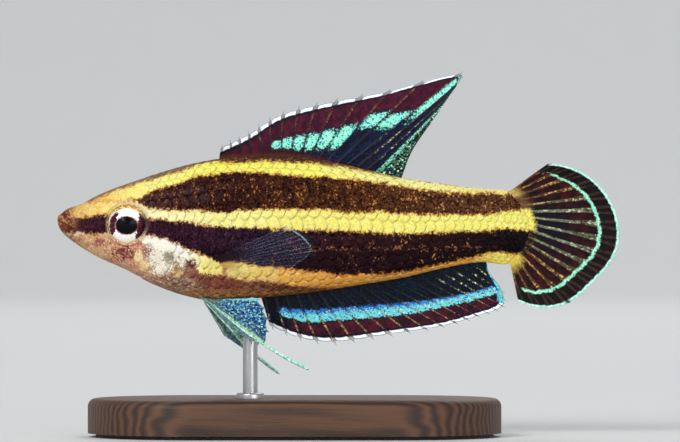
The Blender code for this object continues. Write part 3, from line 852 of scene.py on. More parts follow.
dice = random.Random(38)
per_row = WIDTH_STEPS + 1
plate_u = np.repeat(PLATE_ROWS, per_row)
plate_v = np.tile(np.linspace(-1, 1, per_row), LENGTH_STEPS + 1)
plate_count = len(plate_u)
past_round = np.clip((plate_u - ROUND_FROM) / (1 - ROUND_FROM), 0, 1)
plate_width = np.maximum(np.sqrt(np.clip(1 - past_round**ROUND_POWER, 0, 1)), TIP_WIDTH)
plate_width = plate_width * (ROOT_WIDTH + (1 - ROOT_WIDTH) * slope_up(plate_u, 0.0, 0.4))
plate_across = plate_v * plate_width
plate_along = plate_u * (1 - SIDES_BACK * plate_v**2) - 0.5
plate_lift = (SCALE_RISE + ROOT_SUNK) * plate_u**RISE_POWER - ROOT_SUNK - SIDES_SUNK * plate_across**2
plate_lift = plate_lift - TIP_SUNK * slope_up(plate_u, 0.75, 1.0)
plate_thick = SCALE_THICK * (1 - 0.5 * slope_up(plate_u, 0.6, 1.0))
# How near each point is to the plate's rim, where the hide is darkened with painted shade
plate_rim_shade = np.maximum(slope_up(plate_u, 0.6, 1.0), np.abs(plate_v) ** 3 * slope_up(plate_u, 0.25, 0.6))


def plate_faces():
    """The faces of one closed plate: its outer side, its inner side, and the rim between them."""
    faces = []
    for i in range(LENGTH_STEPS):
        for j in range(WIDTH_STEPS):
            a = i * per_row + j
            quad = [a, a + 1, a + 1 + per_row, a + per_row]
            faces.append(quad)
            faces.append([index + plate_count for index in reversed(quad)])
    rim = list(range(per_row))
    rim += [i * per_row + WIDTH_STEPS for i in range(1, LENGTH_STEPS + 1)]
    rim += [LENGTH_STEPS * per_row + j for j in range(WIDTH_STEPS - 1, -1, -1)]
    rim += [i * per_row for i in range(LENGTH_STEPS - 1, 0, -1)]
    for first, second in zip(rim, rim[1:] + rim[:1]):
        faces.append([second, first, first + plate_count, second + plate_count])
    return np.array(faces)


def scale_is_wanted(behind, turn):
    """Scales cover the trunk, tail, nape and gill cover, but not the snout, throat or eye's surround."""
    middle, tall, _ = body_size(behind)
    above = middle + tall * math.cos(turn)
    lowest = LOWEST_ON_HEAD if behind < HEAD_LENGTH else LOWEST_BEHIND
    set_back = THROAT_SET_BACK * (1 - math.cos(2 * turn)) * (turn > math.pi / 2)
    by_eye = math.hypot(behind - EYE_BEHIND, above - EYE_ABOVE) < EYE_SURROUND
    return not by_eye and turn < lowest and behind > SCALE_FRONT + set_back


def scale_coat(hand):
    """All scales of one side: arrays of places, faces, stored values and patches on the skin's unwrap."""
    plate = plate_faces()
    places, faces, looks, patches = [], [], [], []
    for row in range(ROWS):
        turn = math.pi * (row + 0.5) / ROWS
        behind = SCALE_FRONT - LEAD_IN + STAGGER * (row % 2)
        while behind < tail_line(turn) - SCALE_END_GAP:
            pitch = float(SCALE_PITCH(behind)[0])
            if scale_is_wanted(behind, turn):
                tilt = dice.uniform(-SCALE_TILT, SCALE_TILT)
                grow = dice.uniform(*SCALE_GROWTH)
                tint = dice.uniform(-1, 1)
                at = behind + pitch * SCALE_LAP * grow * plate_along
                half_turn = math.pi / ROWS * SCALE_SPREAD / 2 * grow
                around = turn + half_turn * plate_across + tilt * (plate_u - 0.5)
                outer = skin_place(at, around, plate_lift + plate_thick)
                inner = skin_place(at, around, plate_lift - plate_thick * INNER_SHARE)
                faces.append(plate + len(places) * 2 * plate_count)
                places.append(np.concatenate([outer, inner]) * (1, hand, 1))
                looks.append(np.tile(triple(plate_rim_shade, np.full(plate_count, tint)), (2, 1)))
                root = (behind / UNWRAP_LENGTH + UNWRAP_START, 0.5 + hand * turn / math.pi * UNWRAP_HALF)
                patch = root + np.stack([plate_u - 0.5, plate_v / 2], -1) * PATCH
                patches.append(np.tile(patch, (2, 1)))
            behind += pitch
    return [np.concatenate(part) for part in (places, faces, looks, patches)]


scaled_hide = striped_hide("scaled_skin", True)
for side_name, hand in SIDES.items():
    places, faces, looks, patches = scale_coat(hand)
    mesh = bpy.data.meshes.new(f"scales_{side_name}")
    wound = faces if hand > 0 else faces[:, ::-1]
    mesh.from_pydata(places * MM, [], wound.tolist())
    give_marks(mesh)
    give_values(mesh, "scale", looks)
    unwrap = mesh.uv_layers.new(name="OFBake")
    corner = np.empty(len(mesh.loops), np.int32)
    mesh.loops.foreach_get("vertex_index", corner)
    unwrap.data.foreach_set("uv", patches[corner].astype(np.float32).ravel())
    mesh.shade_smooth()
    piece_from(mesh, scaled_hide)

# Each fin is a thin web of skin over slim bony rays, which end in the flesh below it. The web is drawn
# out to nothing at its edges and the rays are thicker than it, so they stand out on both faces.

RAY_HEIGHT = 0.055
# At a ray's root and at its end: half its width in webs, and its share of the height
RAY_HALF_WIDTHS = (0.17, 0.08)
RAY_SHARES = (1.15, 0.40)
RAY_TIP = 0.085
FORK_FROM = 0.38
WEB_HALF = 0.028
WEB_TAPER = 0.12
FIN_CLEAR = 0.25
HALF_WAVES = 1.6
WAVE_START = 0.2
SAME_PLACE = 1e-8
# Columns of points stand beside each ray at these shares of a web's width
RAY_OFFSETS = (0.0, 0.035, 0.075, 0.12, 0.17, 0.22, 0.28, 0.36, 0.44)
PAST_OUTER_RAYS = 0.2
FIN_ROWS = 56
CLOSER_OUTWARD = 1.25


def extended(curve, last):
    """A curve over ray numbers, carried on straight past the first ray and the last one."""

    def value(number):
        within = np.clip(number, 0, last)
        inner = np.where(number < last / 2, 1.0, last - 1.0)
        outer = np.where(number < last / 2, 0.0, float(last))
        slope = (curve(inner) - curve(outer)) / (inner - outer)[..., None]
        return curve(within) + (number - within)[..., None] * slope

    return value


def fin_columns(rays):
    """Numbers between the rays, closest beside each ray, and a little past the first and the last."""
    numbers = {round(ray + way * off, 4) for ray in range(rays) for off in RAY_OFFSETS for way in (-1, 1)}
    last = rays - 1 + PAST_OUTER_RAYS
    return np.array(sorted(number for number in numbers if -PAST_OUTER_RAYS < number < last))


def along_body(rays, ends, edge):
    """Roots of a fin's rays, between two places along the back, edge 1, or the belly, edge -1."""

    def root(number):
        behind = ends[0] + (ends[1] - ends[0]) * number / (rays - 1)
        middle, tall, _ = body_size(behind)
        return np.stack([behind, middle + edge * (tall + FIN_CLEAR)], -1)

    return root


def waved(rays, sway):
    """How far an unpaired fin's gentle wave takes it to the side, most at its margin."""

    def side(number, share):
        wave = np.sin(math.pi * (HALF_WAVES * number / (rays - 1) - WAVE_START))
        return sway * wave * np.maximum(share, 0.0) ** 2

    return side


def sorted_grid(bm, columns, rows):
    """The points of a new grid, column by column."""
    grid = bmesh.ops.create_grid(bm, x_segments=columns - 1, y_segments=rows - 1, size=1.0)["verts"]
    grid.sort(key=lambda vert: (round(vert.co.x, 5), vert.co.y))
    return grid


def fin_sheet(name, rays, root, margin, side, material, sunk, tip=0.0, scallop=0.0, fork=0.0,
              stout=1.0, band=None):
    """Makes one fin. Root and margin give the two ends of a ray, and side how far it is from the middle.

    Each point stores its distance in from the margin, its distance out from the root and its share of
    the ray, then how far up a ray's side it is and its place between the first ray and the last, and
    then what the band function gives for it.
    """
    numbers = fin_columns(rays)
    steps = 1 - (1 - np.linspace(0, 1, FIN_ROWS)) ** CLOSER_OUTWARD
    number, step = (part.ravel() for part in np.meshgrid(numbers, steps, indexing="ij"))
    off = number - np.round(number)
    start = root(number)
    run = margin(number) - start
    length = np.hypot(run[:, 0], run[:, 1])
    crest = np.clip(1 - np.abs(off) / RAY_TIP, 0, 1)
    reach = length + tip * crest + scallop * np.sin(math.pi * off) ** 2
    out = step * (reach + sunk) - sunk
    share = out / length
    spot = start + run * share[:, None]
    outward = np.clip(share, 0, 1)
    split = fork * slope_up(share, FORK_FROM, 1.0)
    wide = RAY_HALF_WIDTHS[0] + (RAY_HALF_WIDTHS[1] - RAY_HALF_WIDTHS[0]) * outward
    ridge = np.maximum(bell(off - split, wide), bell(off + split, wide))
    height = RAY_HEIGHT * stout * ridge * (RAY_SHARES[0] + (RAY_SHARES[1] - RAY_SHARES[0]) * outward)
    half = (WEB_HALF + height) * np.sqrt(np.clip((reach - out) / WEB_TAPER, 0, 1))
    border = (step <= 0) | (step >= 1) | (number <= numbers[0]) | (number >= numbers[-1])
    half = np.where(border, 0.0, half)
    values = {
        "reach": triple(reach - out - tip * crest, out, share),
        "ray": triple(ridge, number / (rays - 1)),
    }
    if band is not None:
        values["band"] = band(number, share, length, spot)
    bm = bmesh.new()
    layers = [(bm.verts.layers.float_vector.new(key), stored) for key, stored in values.items()]
    for face in (-1, 1):
        level = side(number, share) + face * half
        places = np.stack([spot[:, 0] + SNOUT_X, level, spot[:, 1] + MOUTH_Z], -1) * MM
        for k, vert in enumerate(sorted_grid(bm, len(numbers), FIN_ROWS)):
            vert.co = places[k]
            for layer, stored in layers:
                vert[layer] = stored[k]
    bmesh.ops.remove_doubles(bm, verts=bm.verts, dist=SAME_PLACE)
    return piece_from(mesh_from(bm, name), material)


def web_finish(name):
    return finish(name, Roughness=0.45, Specular_IOR_Level=0.08, Coat_Weight=0.02, Coat_Roughness=0.15)


def web_reading(tree):
    """The place on a fin, its distances from margin and root, and its share, ridge and place along."""
    return [millimetres(tree), *value_of(tree, "reach"), *value_of(tree, "ray")[:2]]


def fraying(place):
    """Unevenness for the edges of a fin's markings, about -1 to 1."""
    return (noise(place, 6.0, 3.0, 0.7) - 0.5) * 2.0


def ray_streaks(along, share, rays):
    """Uneven streaks that run along the rays."""
    lane = node(along.tree, "ShaderNodeCombineXYZ", {0: along * (1.5 * (rays - 1)), 1: share})
    return noise(lane, 3.2, 3.0, 0.65)


DASH = 0.29
GAP_LINE = 0.46


def banded_web(name, rays, ground, flecks, band_low, band_high, wine, wine_from, trailing, ray_tones,
               beaded, dotted, bare_from, haze, band_reach, speckled_from=None, sparks=()):
    """The web of the dorsal or anal fin: dark ground, a bright band, a wine-red zone, and bright dashes
    along the edge, with a blue fringe round them and a dark line inside. Speckles may fill its end."""
    made, tree, shader = web_finish(name)
    place, margin, base, share, ridge, along = web_reading(tree)
    dash, inner, outer = value_of(tree, "band")
    rough = fraying(place)
    cell = cells(place, 13.0)
    second = cells(place, 9.5)
    cloud = noise(place, 2.4, 3.0, 0.6)
    streak = ray_streaks(along, share, rays)
    flecks = ramp(along, *flecks)
    red = layered(
        blend(fade(cloud, 0.35, 0.7), *wine),
        (cell * 0.5, (34, 10, 30)),
        (fade(ridge, 0.10, 0.45) * 0.45, (14, 10, 22)),
    )
    beyond = outer + rough * 0.22
    within = inner + rough * 0.34
    wine_share = fade(beyond, -0.02, -0.14) * fade(along, trailing + 0.03, trailing - 0.01)
    wine_share = wine_share * fade(along + rough * 0.02, wine_from, wine_from + 0.05)
    depth = fade(within, 0.0, band_reach) + cell * 0.6
    bright = layered(
        blend(fade(depth, 0.25, 1.0), band_low, band_high),
        (fade(cell, 0.76, 0.90), (28, 84, 160)),
        (fade(second, 0.88, 0.98) * 0.5, (214, 250, 236)),
    )
    rear_edge = fade(margin, 0.20, 0.10) * fade(along, trailing + 0.02, trailing + 0.05)
    speckles = []
    if sparks:
        speckled = fade(along + rough * 0.012, speckled_from, speckled_from + 0.02)
        leading = between(along, speckled_from + 0.002, speckled_from + 0.022, 0.01)
        speckles = [(speckled, ramp(second, *sparks, kind="CONSTANT")),
                    (leading * fade(cell + streak, 0.80, 1.05), band_high)]
    beads = fade(cells(place, 7.0), 0.72, 0.90) * fade(share, 0.30, 0.60) * beaded
    ray_colour = blend(beads, ramp(share, *ray_tones), (238, 218, 170))
    bare_rays = fade(ridge, 0.45, 0.9) * fade(cell, 1.0, 0.15) * fade(along, bare_from + 0.05, bare_from)
    dots = fade(ridge, 0.35, 0.75) * fade(second, 0.72, 0.84) * between(share, 0.16, 0.60, 0.10)
    dots = dots * between(along, 0.74, 0.96, 0.05)
    glow = fade(base + rough * 0.22, 0.04, -0.22) * fade(along, 0.75, 0.35)
    worn = margin + rough * 0.07
    lined = between(worn, DASH, GAP_LINE, 0.04) * fade(along, trailing + 0.02, trailing - 0.02)
    dashes = fade(dash + rough * 0.45, 0.40, 0.62) * between(worn, -0.05, DASH, 0.03)
    dash_core = between(worn, 0.04, DASH - 0.02, 0.03)
    tips = fade(margin, -0.02, -0.06)
    dress(shader, Base_Color=layered(
        ramp(along, *ground),
        (fade(cell, 0.80, 0.92), flecks),
        (fade(streak, 0.50, 0.66) * 0.5, flecks),
        (wine_share, red),
        (fade(within, -0.03, 0.10) * fade(beyond, -0.02, 0.06), bright),
        (rear_edge, blend(cell, (44, 104, 100), (140, 222, 190))),
        *speckles,
        (bare_rays * 0.7, ray_colour),
        (dots * dotted, (232, 232, 176)),
        (glow * 0.8, haze),
        (lined * 0.9, (11, 12, 26)),
        (dashes, blend(dash_core, (44, 120, 178), (252, 255, 253))),
        (tips, blend(cell, (84, 116, 138), (150, 186, 194))),
    ))
    notch = fade(dash, 0.6, 0.3) * fade(margin, 0.28, 0.20) * fade(along, trailing, trailing - 0.05)
    dress(shader, Alpha=1.0 - maths("MAXIMUM", tips, notch) * 0.70)
    relief(shader, cloud + cell * 0.25, 0.015, 0.5)
    return made


# The dorsal fin stands along the back on nineteen rays, short in front and long behind, where it runs
# out to a point. Its pale dashes and blue-green patches are cells of bright pigment, one to each web.

DORSAL_RAYS = 19
DORSAL_ROOT = (11.05, 23.20)
# Where rays end: the ray's number, the place behind the snout and the height above the mouth line
DORSAL_MARGIN = [
    (0, 11.09, 4.86),
    (3, 12.91, 5.74),
    (6, 15.21, 7.10),
    (9, 18.79, 7.98),
    (11, 22.31, 8.65),
    (12, 24.47, 9.24),
    (13, 27.11, 9.84),
    (14, 27.04, 9.26),
    (16, 25.96, 7.64),
    (18, 24.05, 4.90),
]
DORSAL_SWAY = 0.30
# Where the bright patch of each web begins and ends, as shares of the way out
DORSAL_PATCHES = {5: (0.09, 0.36), 6: (0.09, 0.39), 7: (0.07, 0.42), 8: (0.07, 0.44), 9: (0.10, 0.49),
                  10: (0.11, 0.54), 11: (0.42, 0.67), 12: (0.38, 0.60), 13: (0.50, 1.06)}
# Webs without a patch have limits that no place lies between
NO_PATCH = (9.0, -9.0)
PATCH_ROUNDNESS = 2.6
PATCH_MIDDLE = 0.52
PATCH_SLOPE = 0.34
DASH_START = (0.06, 0.26)
DASH_STOP = (0.95, 0.76)
DORSAL_POINT = 13
DORSAL_TRAILING = 14
WINE_BEHIND = 0.6
WINE_SLOPE = 0.25


def web_dashes(number):
    """1 along the middle of each web and 0 beside its rays, where the bright dashes end."""
    within = number - np.floor(number)
    return slope_up(within, *DASH_START) * slope_up(within, *DASH_STOP)


def dorsal_band(number, share, length, spot):
    """How strong the dashes are, and how far a point is inside its bright patch and below its outer end."""
    web = np.clip(np.floor(number), 0, DORSAL_RAYS - 2).astype(int)
    low, high = np.array([DORSAL_PATCHES.get(k, NO_PATCH) for k in range(DORSAL_RAYS - 1)])[web].T
    across = np.abs(number - np.floor(number) - PATCH_MIDDLE) / PATCH_MIDDLE
    along = np.abs(share - (low + high) / 2) / np.maximum((high - low) / 2, 0.01)
    outside = (across**PATCH_ROUNDNESS + along**PATCH_ROUNDNESS) ** (1 / PATCH_ROUNDNESS)
    inner = (1 - outside) * np.where(high > low, PATCH_SLOPE, 1.0)
    trailing = web >= DORSAL_TRAILING
    inner = np.where(trailing, -1.0, inner)
    past_wine = (number - DORSAL_TRAILING - WINE_BEHIND) * WINE_SLOPE
    outer = np.where(trailing, past_wine, (high - share) * length)
    return triple(np.where(number > DORSAL_POINT, 0.0, web_dashes(number)), inner, outer)


dorsal_web = banded_web(
    "dorsal_web",
    rays=DORSAL_RAYS,
    ground=((0.0, (60, 18, 28)), (0.4, (40, 16, 26)), (0.6, (14, 14, 30)), (1.0, (8, 14, 28))),
    flecks=((0.0, (84, 30, 40)), (0.42, (70, 28, 44)), (0.60, (20, 38, 80))),
    band_low=(78, 178, 168),
    band_high=(142, 240, 206),
    wine=((50, 10, 32), (92, 20, 46)),
    wine_from=-0.1,
    trailing=13.9 / 18,
    ray_tones=((0.1, (34, 18, 20)), (0.5, (40, 30, 34)), (0.75, (136, 70, 42)), (1.0, (60, 36, 46))),
    beaded=0.25,
    dotted=0.5,
    bare_from=2.0,
    haze=(96, 44, 22),
    band_reach=0.12,
    speckled_from=15.75 / 18,
    sparks=((0.0, (8, 14, 20)), (0.46, (18, 42, 52)), (0.64, (72, 106, 48)), (0.75, (42, 92, 92)),
            (0.87, (104, 184, 150)), (0.975, (206, 236, 206))),
)
dorsal = fin_sheet("dorsal_sheet", DORSAL_RAYS, along_body(DORSAL_RAYS, DORSAL_ROOT, 1),
                   extended(curve_through(DORSAL_MARGIN), DORSAL_RAYS - 1),
                   waved(DORSAL_RAYS, DORSAL_SWAY), dorsal_web, sunk=0.55,
                   tip=0.34, scallop=0.05, stout=0.65, band=dorsal_band)
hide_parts("dorsal_fin")

# The anal fin hangs along the belly from behind the vent to the tail on twenty-one rays. A blue band runs
# along its middle, with wine red below it and a pale dashed edge.

ANAL_RAYS = 21
ANAL_ROOT = (13.95, 28.90)
ANAL_MARGIN = [
    (0, 14.47, -7.17),
    (2, 16.36, -7.91),
    (4, 18.66, -8.18),
    (7, 22.38, -7.67),
    (10, 25.89, -7.13),
    (13, 28.32, -6.46),
    (16, 30.01, -5.80),
    (18, 30.01, -4.80),
    (20, 29.20, -3.60),
]
ANAL_SWAY = -0.28
# The blue band's upper and lower limits along the fish
anal_limits = curve_through([
    (14.4, -5.85, -6.30),
    (16.76, -6.02, -6.90),
    (18.73, -5.92, -6.83),
    (21.29, -5.71, -6.62),
    (23.52, -5.54, -6.42),
    (25.5, -5.31, -6.02),
    (27.85, -4.87, -5.51),
    (29.95, -4.26, -4.93),
])
BAND_NOTCH = 0.12
NOTCH_SIDES = (0.03, 0.20)
BAND_START = 0.6
START_BELOW = 0.5
STARTING_RAYS = (1.4, 0.2)
CRISPER = 1.2
CRISPER_RAYS = (10, 16)
REAR_STRIP = 0.50
REAR_STRIP_FROM = 16.2
LEAST_OUTER = 0.3
LONGER_DASHES = 7.5
DASH_JOINT = 0.45
LAST_DASH = 16.3


def anal_band(number, share, length, spot):
    """How strong the dashes are, and how far a point is below the band's top and above its foot."""
    upper, lower = anal_limits(spot[:, 0]).T
    beside_ray = np.abs(number - np.round(number))
    notch = BAND_NOTCH * (1 - slope_up(beside_ray, *NOTCH_SIDES))
    start = BAND_START * slope_up(number, *STARTING_RAYS)
    inner = upper - spot[:, 1] - notch - start
    outer = spot[:, 1] - lower - notch - start * START_BELOW
    edge = (1 - share) * length
    strip = (number > REAR_STRIP_FROM) & (edge < REAR_STRIP)
    inner = np.where(strip, REAR_STRIP - edge, inner) * (1 + CRISPER * slope_up(number, *CRISPER_RAYS))
    outer = np.where(strip, np.maximum(outer, LEAST_OUTER), outer)
    ends = web_dashes(number)
    dash = np.where(number > LONGER_DASHES, DASH_JOINT + (1 - DASH_JOINT) * ends, ends)
    return triple(dash * (number < LAST_DASH), inner, outer)


anal_web = banded_web(
    "anal_web",
    rays=ANAL_RAYS,
    ground=((0.0, (8, 9, 14)), (0.5, (4, 8, 17)), (1.0, (6, 11, 13))),
    flecks=((0.0, (12, 30, 62)), (1.0, (14, 42, 66))),
    band_low=(22, 90, 192),
    band_high=(112, 212, 214),
    wine=((34, 12, 24), (92, 20, 38)),
    wine_from=0.06,
    trailing=0.82,
    ray_tones=((0.1, (30, 32, 26)), (0.45, (64, 66, 44)), (0.68, (184, 136, 84)), (1.0, (84, 92, 70))),
    beaded=0.8,
    dotted=1.0,
    bare_from=0.86,
    haze=(30, 18, 18),
    band_reach=0.64,
)
anal = fin_sheet("anal_sheet", ANAL_RAYS, along_body(ANAL_RAYS, ANAL_ROOT, -1),
                 extended(curve_through(ANAL_MARGIN), ANAL_RAYS - 1), waved(ANAL_RAYS, ANAL_SWAY),
                 anal_web, sunk=0.55, tip=0.36, scallop=0.05, stout=0.8, band=anal_band)
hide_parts("anal_fin")

# The tail fin is a round fan of sixteen rays, which fork on the way out. Two bright lines cross it, one
# along its edge and one inside that, and the web between the rays is wine red and nearly black.

CAUDAL_RAYS = 16
CAUDAL_ROOT_TURNS = (0.06, 0.94)
CAUDAL_CENTRE = (33.12, -1.08)
CAUDAL_RADIUS = 4.88
CAUDAL_SWEEP = (88.0, -112.0)
# The round margin is a little flat at one place: its angle, its spread in degrees and its depth
CAUDAL_FLAT = (-45.0, 26.0, 0.50)
CAUDAL_SWAY = 0.35
INNER_LINE = 1.42
LINE_BULGE = 0.07
# Where the inner line bends out towards its two ends: from ray, to ray, and how far
LINE_ENDS = ((2.0, 0.4, 0.2), (12.0, 14.6, 0.15))
LIT_FROM = (-0.2, 0.3)
MIDDLE_RAY = 7.0
MIDDLE_SPREAD = 3.4
# The gap in the bright edge: at which ray, and how wide
EDGE_GAP = (12.05, 0.16)


def caudal_root(number):
    first, last = CAUDAL_ROOT_TURNS
    turn = math.pi * (first + (last - first) * number / (CAUDAL_RAYS - 1))
    behind = tail_line(turn) + FIN_CLEAR
    middle, tall, _ = body_size(behind)
    return np.stack([behind, middle + tall * np.cos(turn)], -1)


def caudal_margin(number):
    first, last = CAUDAL_SWEEP
    angle = first + (last - first) * number / (CAUDAL_RAYS - 1)
    flat_at, flat_width, flat_depth = CAUDAL_FLAT
    radius = CAUDAL_RADIUS - flat_depth * bell(angle - flat_at, flat_width)
    turn = np.radians(angle)
    return CAUDAL_CENTRE + radius[:, None] * np.stack([np.cos(turn), np.sin(turn)], -1)


def caudal_band(number, share, length, spot):
    """Where the edge is bright, how far a point is from the inner line, and how near the middle rays."""
    bulge = LINE_BULGE * np.sin(math.pi * (number - np.floor(number)))
    ends = sum(slope_up(number, start, stop) * bend for start, stop, bend in LINE_ENDS)
    off_line = (1 - share) * length - INNER_LINE + bulge + ends
    gap_at, gap_width = EDGE_GAP
    lit = (1 - bell(number - gap_at, gap_width)) * slope_up(number, *LIT_FROM)
    return triple(lit, off_line, bell(number - MIDDLE_RAY, MIDDLE_SPREAD))


caudal_web, tree, shader = web_finish("caudal_web")
place, margin, base, share, ridge, along = web_reading(tree)
edge_lit, off_line, middle = value_of(tree, "band")
rough = fraying(place)
cell = cells(place, 13.0)
cloud = noise(place, 1.8, 3.0, 0.6)
outside = fade(off_line, 0.05, -0.25)
streak = ray_streaks(along, share, CAUDAL_RAYS)
grain = streak + cells(place, 8.0) * 0.45
faint = fade(share, 0.1, 0.85)
pale_ray = blend(faint, (120, 132, 100), (82, 78, 60))
gold_ray = blend(faint, (104, 78, 46), (68, 46, 34))
pale_ray = blend(fade(grain, 0.80, 0.98), pale_ray, (206, 220, 186))
gold_ray = blend(fade(grain, 0.84, 0.98), gold_ray, (220, 178, 104))
ray_colour = layered(gold_ray, (fade(middle, 0.25, 0.75), pale_ray), (outside, (56, 42, 37)))
rays_shown = fade(ridge + streak * 0.5, 0.45, 0.85) * fade(grain, 0.42, 0.66)
flesh = ramp(along, (0.0, (206, 180, 110)), (0.13, (190, 156, 84)), (0.17, (92, 60, 44)),
             (0.29, (110, 74, 44)), (0.32, (246, 232, 118)), (0.51, (246, 230, 112)),
             (0.54, (24, 14, 18)), (0.78, (30, 18, 20)), (0.82, (226, 196, 88)))
flesh = blend(fade(cell, 0.6, 0.9) * 0.5, flesh, (150, 112, 58))
flesh_reach = ramp(along, (0.25, 0.85), (0.33, 0.35), (0.75, 0.35), (0.85, 0.85))
line = off_line + rough * 0.22 + (cell - 0.5) * 0.07
line_lit = between(line, -0.115, 0.115, 0.03) * between(along, 0.035, 0.965, 0.012)
line_lit = line_lit * fade(noise(place, 1.5, 1.0, 0.5) + fade(along, 0.12, 0.30), 0.44, 0.50)
edge = between(margin + rough * 0.15, -0.12, 0.19, 0.03) * edge_lit
dress(shader, Base_Color=layered(
    blend(fade(cloud, 0.38, 0.66), (22, 7, 12), (62, 15, 20)),
    (fade(share, 0.75, 0.25) * middle, blend(cell, (10, 9, 20), (24, 14, 30))),
    (outside, blend(cloud, (9, 5, 8), (26, 13, 13))),
    (rays_shown * 0.85, ray_colour),
    (fade(base + rough * 0.45, flesh_reach, -0.1), flesh),
    (line_lit, blend(cell, (96, 200, 166), (190, 250, 222))),
    (edge, blend(cell, (120, 216, 196), (226, 255, 242))),
))
relief(shader, cloud + cell * 0.3, 0.015, 0.5)

caudal = fin_sheet("caudal_sheet", CAUDAL_RAYS, caudal_root, caudal_margin,
                   waved(CAUDAL_RAYS, CAUDAL_SWAY), caudal_web, sunk=0.6,
                   tip=0.06, fork=0.22, band=caudal_band)
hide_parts("caudal_fin")

# The pectoral fins are clear fans of eleven fine rays, one behind each gill cover, on short fleshy roots.
# They are swung out and back, and the striped flank shows through them.

PECTORAL_RAYS = 11
# The root's upper and lower ends: behind the snout and above the mouth line
PECTORAL_ROOT = np.array([(11.00, -2.35), (11.45, -3.20)])
PECTORAL_LENGTHS = curve_through([(0, 4.9), (4, 5.75), (7, 5.9), (10, 4.6)])
PECTORAL_ANGLES = (23.0, 2.0)
PECTORAL_FLARE = math.tan(math.radians(24.0))
PECTORAL_OUT = 0.61
PECTORAL_LEAVES = (-0.14, 0.16)
PECTORAL_CURL = 0.25
PECTORAL_SUNK = 0.04


def flank(behind, above):
    """Half the body's width at that height."""
    middle, tall, wide = body_size(behind)
    share = np.abs(above - middle) / tall
    return wide * np.maximum(1 - share**SECTION_POWER, 0.0) ** (1 / SECTION_POWER)


def fan_margin(rays, root, lengths, angles):
    """Ends of rays that fan out from a short root, between two angles above the horizontal."""

    def margin(number):
        turn = np.radians(angles[0] + (angles[1] - angles[0]) * number / (rays - 1))
        return root(number) + np.stack([np.cos(turn), np.sin(turn)], -1) * lengths(number)

    return margin


def pectoral_root(number):
    share = (number / (PECTORAL_RAYS - 1))[:, None]
    return PECTORAL_ROOT[0] + (PECTORAL_ROOT[1] - PECTORAL_ROOT[0]) * share


pectoral_margin = fan_margin(PECTORAL_RAYS, pectoral_root, PECTORAL_LENGTHS, PECTORAL_ANGLES)


def pectoral_side(hand):
    def side(number, share):
        root = pectoral_root(number)
        reach = (pectoral_margin(number) - root)[:, 0] * share
        beside = flank(root[:, 0], root[:, 1]) + PECTORAL_OUT * slope_up(share, *PECTORAL_LEAVES)
        return hand * (beside + reach * PECTORAL_FLARE * (1 - PECTORAL_CURL * share) - PECTORAL_SUNK)

    return side


pectoral_web, tree, shader = web_finish("pectoral_web")
place, margin, base, share, ridge, along = web_reading(tree)
cell = cells(place, 12.0)
joints = maths("SINE", base * 21.0)
ray_colour = blend(fade(joints, -0.6, 0.6), (96, 104, 140), (136, 158, 188))
edge = between(margin, -0.1, 0.14, 0.04)
root_colour = blend(fade(along, 0.50, 0.72), (46, 26, 34), (226, 184, 98))
streak = ray_streaks(along, share, PECTORAL_RAYS)
rays_seen = fade(ridge, 0.6, 1.0) * fade(streak, 0.36, 0.60) * 0.30 + 0.03
edge_seen = edge * fade(along, 0.75, 0.25) * fade(cell, 0.15, 0.55) * 0.36
root_seen = fade(base, 1.0, 0.0) * 0.75
dress(
    shader,
    Base_Color=layered(
        blend(fade(ridge, 0.3, 0.7), (112, 112, 142), ray_colour),
        (edge, (150, 206, 216)),
        (fade(base, 2.4, 0.4), root_colour),
    ),
    Alpha=maths("MAXIMUM", maths("MAXIMUM", rays_seen, edge_seen), root_seen),
)
for side_name, hand in SIDES.items():
    pectoral = fin_sheet(f"pectoral_sheet_{side_name}", PECTORAL_RAYS, pectoral_root, pectoral_margin,
                         pectoral_side(hand), pectoral_web, sunk=0.5, fork=0.03, stout=0.35)
    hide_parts(f"pectoral_fin_{side_name}")

# The pelvic fins hang below the belly on six rays each, speckled blue. The second ray runs on as a long
# free filament, which is thickest and palest towards its end.

PELVIC_RAYS = 6
# The root's front end: behind the snout, and out from the fish's middle
PELVIC_ROOT = (9.70, 0.80)
LONG_RAY = 1
PELVIC_ROOT_LENGTH = 0.90
PELVIC_LENGTHS = curve_through([(0, 3.1), (1, 5.0), (2, 4.6), (3, 4.1), (5, 2.9)])
PELVIC_ANGLES = (41.0, -5.0)
PELVIC_SPLAY = math.tan(math.radians(11.0))
PELVIC_TURN = {"left": 5.2, "right": 16.8}
FILAMENT_LENGTH = {"left": 8.6, "right": 7.3}
FILAMENT_START = 0.4
FILAMENT_STEPS = 48
FILAMENT_AROUND = 20
FILAMENT_RADII = curve_through([(0, 0.04), (0.35, 0.055), (0.58, 0.075), (0.75, 0.115), (0.93, 0.10),
                                (1, 0.05)])
FILAMENT_BOW = 0.30
FILAMENT_LIFT = math.radians(3.0)


def pelvic_root(number):
    behind = PELVIC_ROOT[0] + PELVIC_ROOT_LENGTH * number / (PELVIC_RAYS - 1)
    middle, tall, wide = body_size(behind)
    share = PELVIC_ROOT[1] / wide
    below = middle - tall * (1 - share**SECTION_POWER) ** (1 / SECTION_POWER)
    return np.stack([behind, below - FIN_CLEAR / 2], -1)


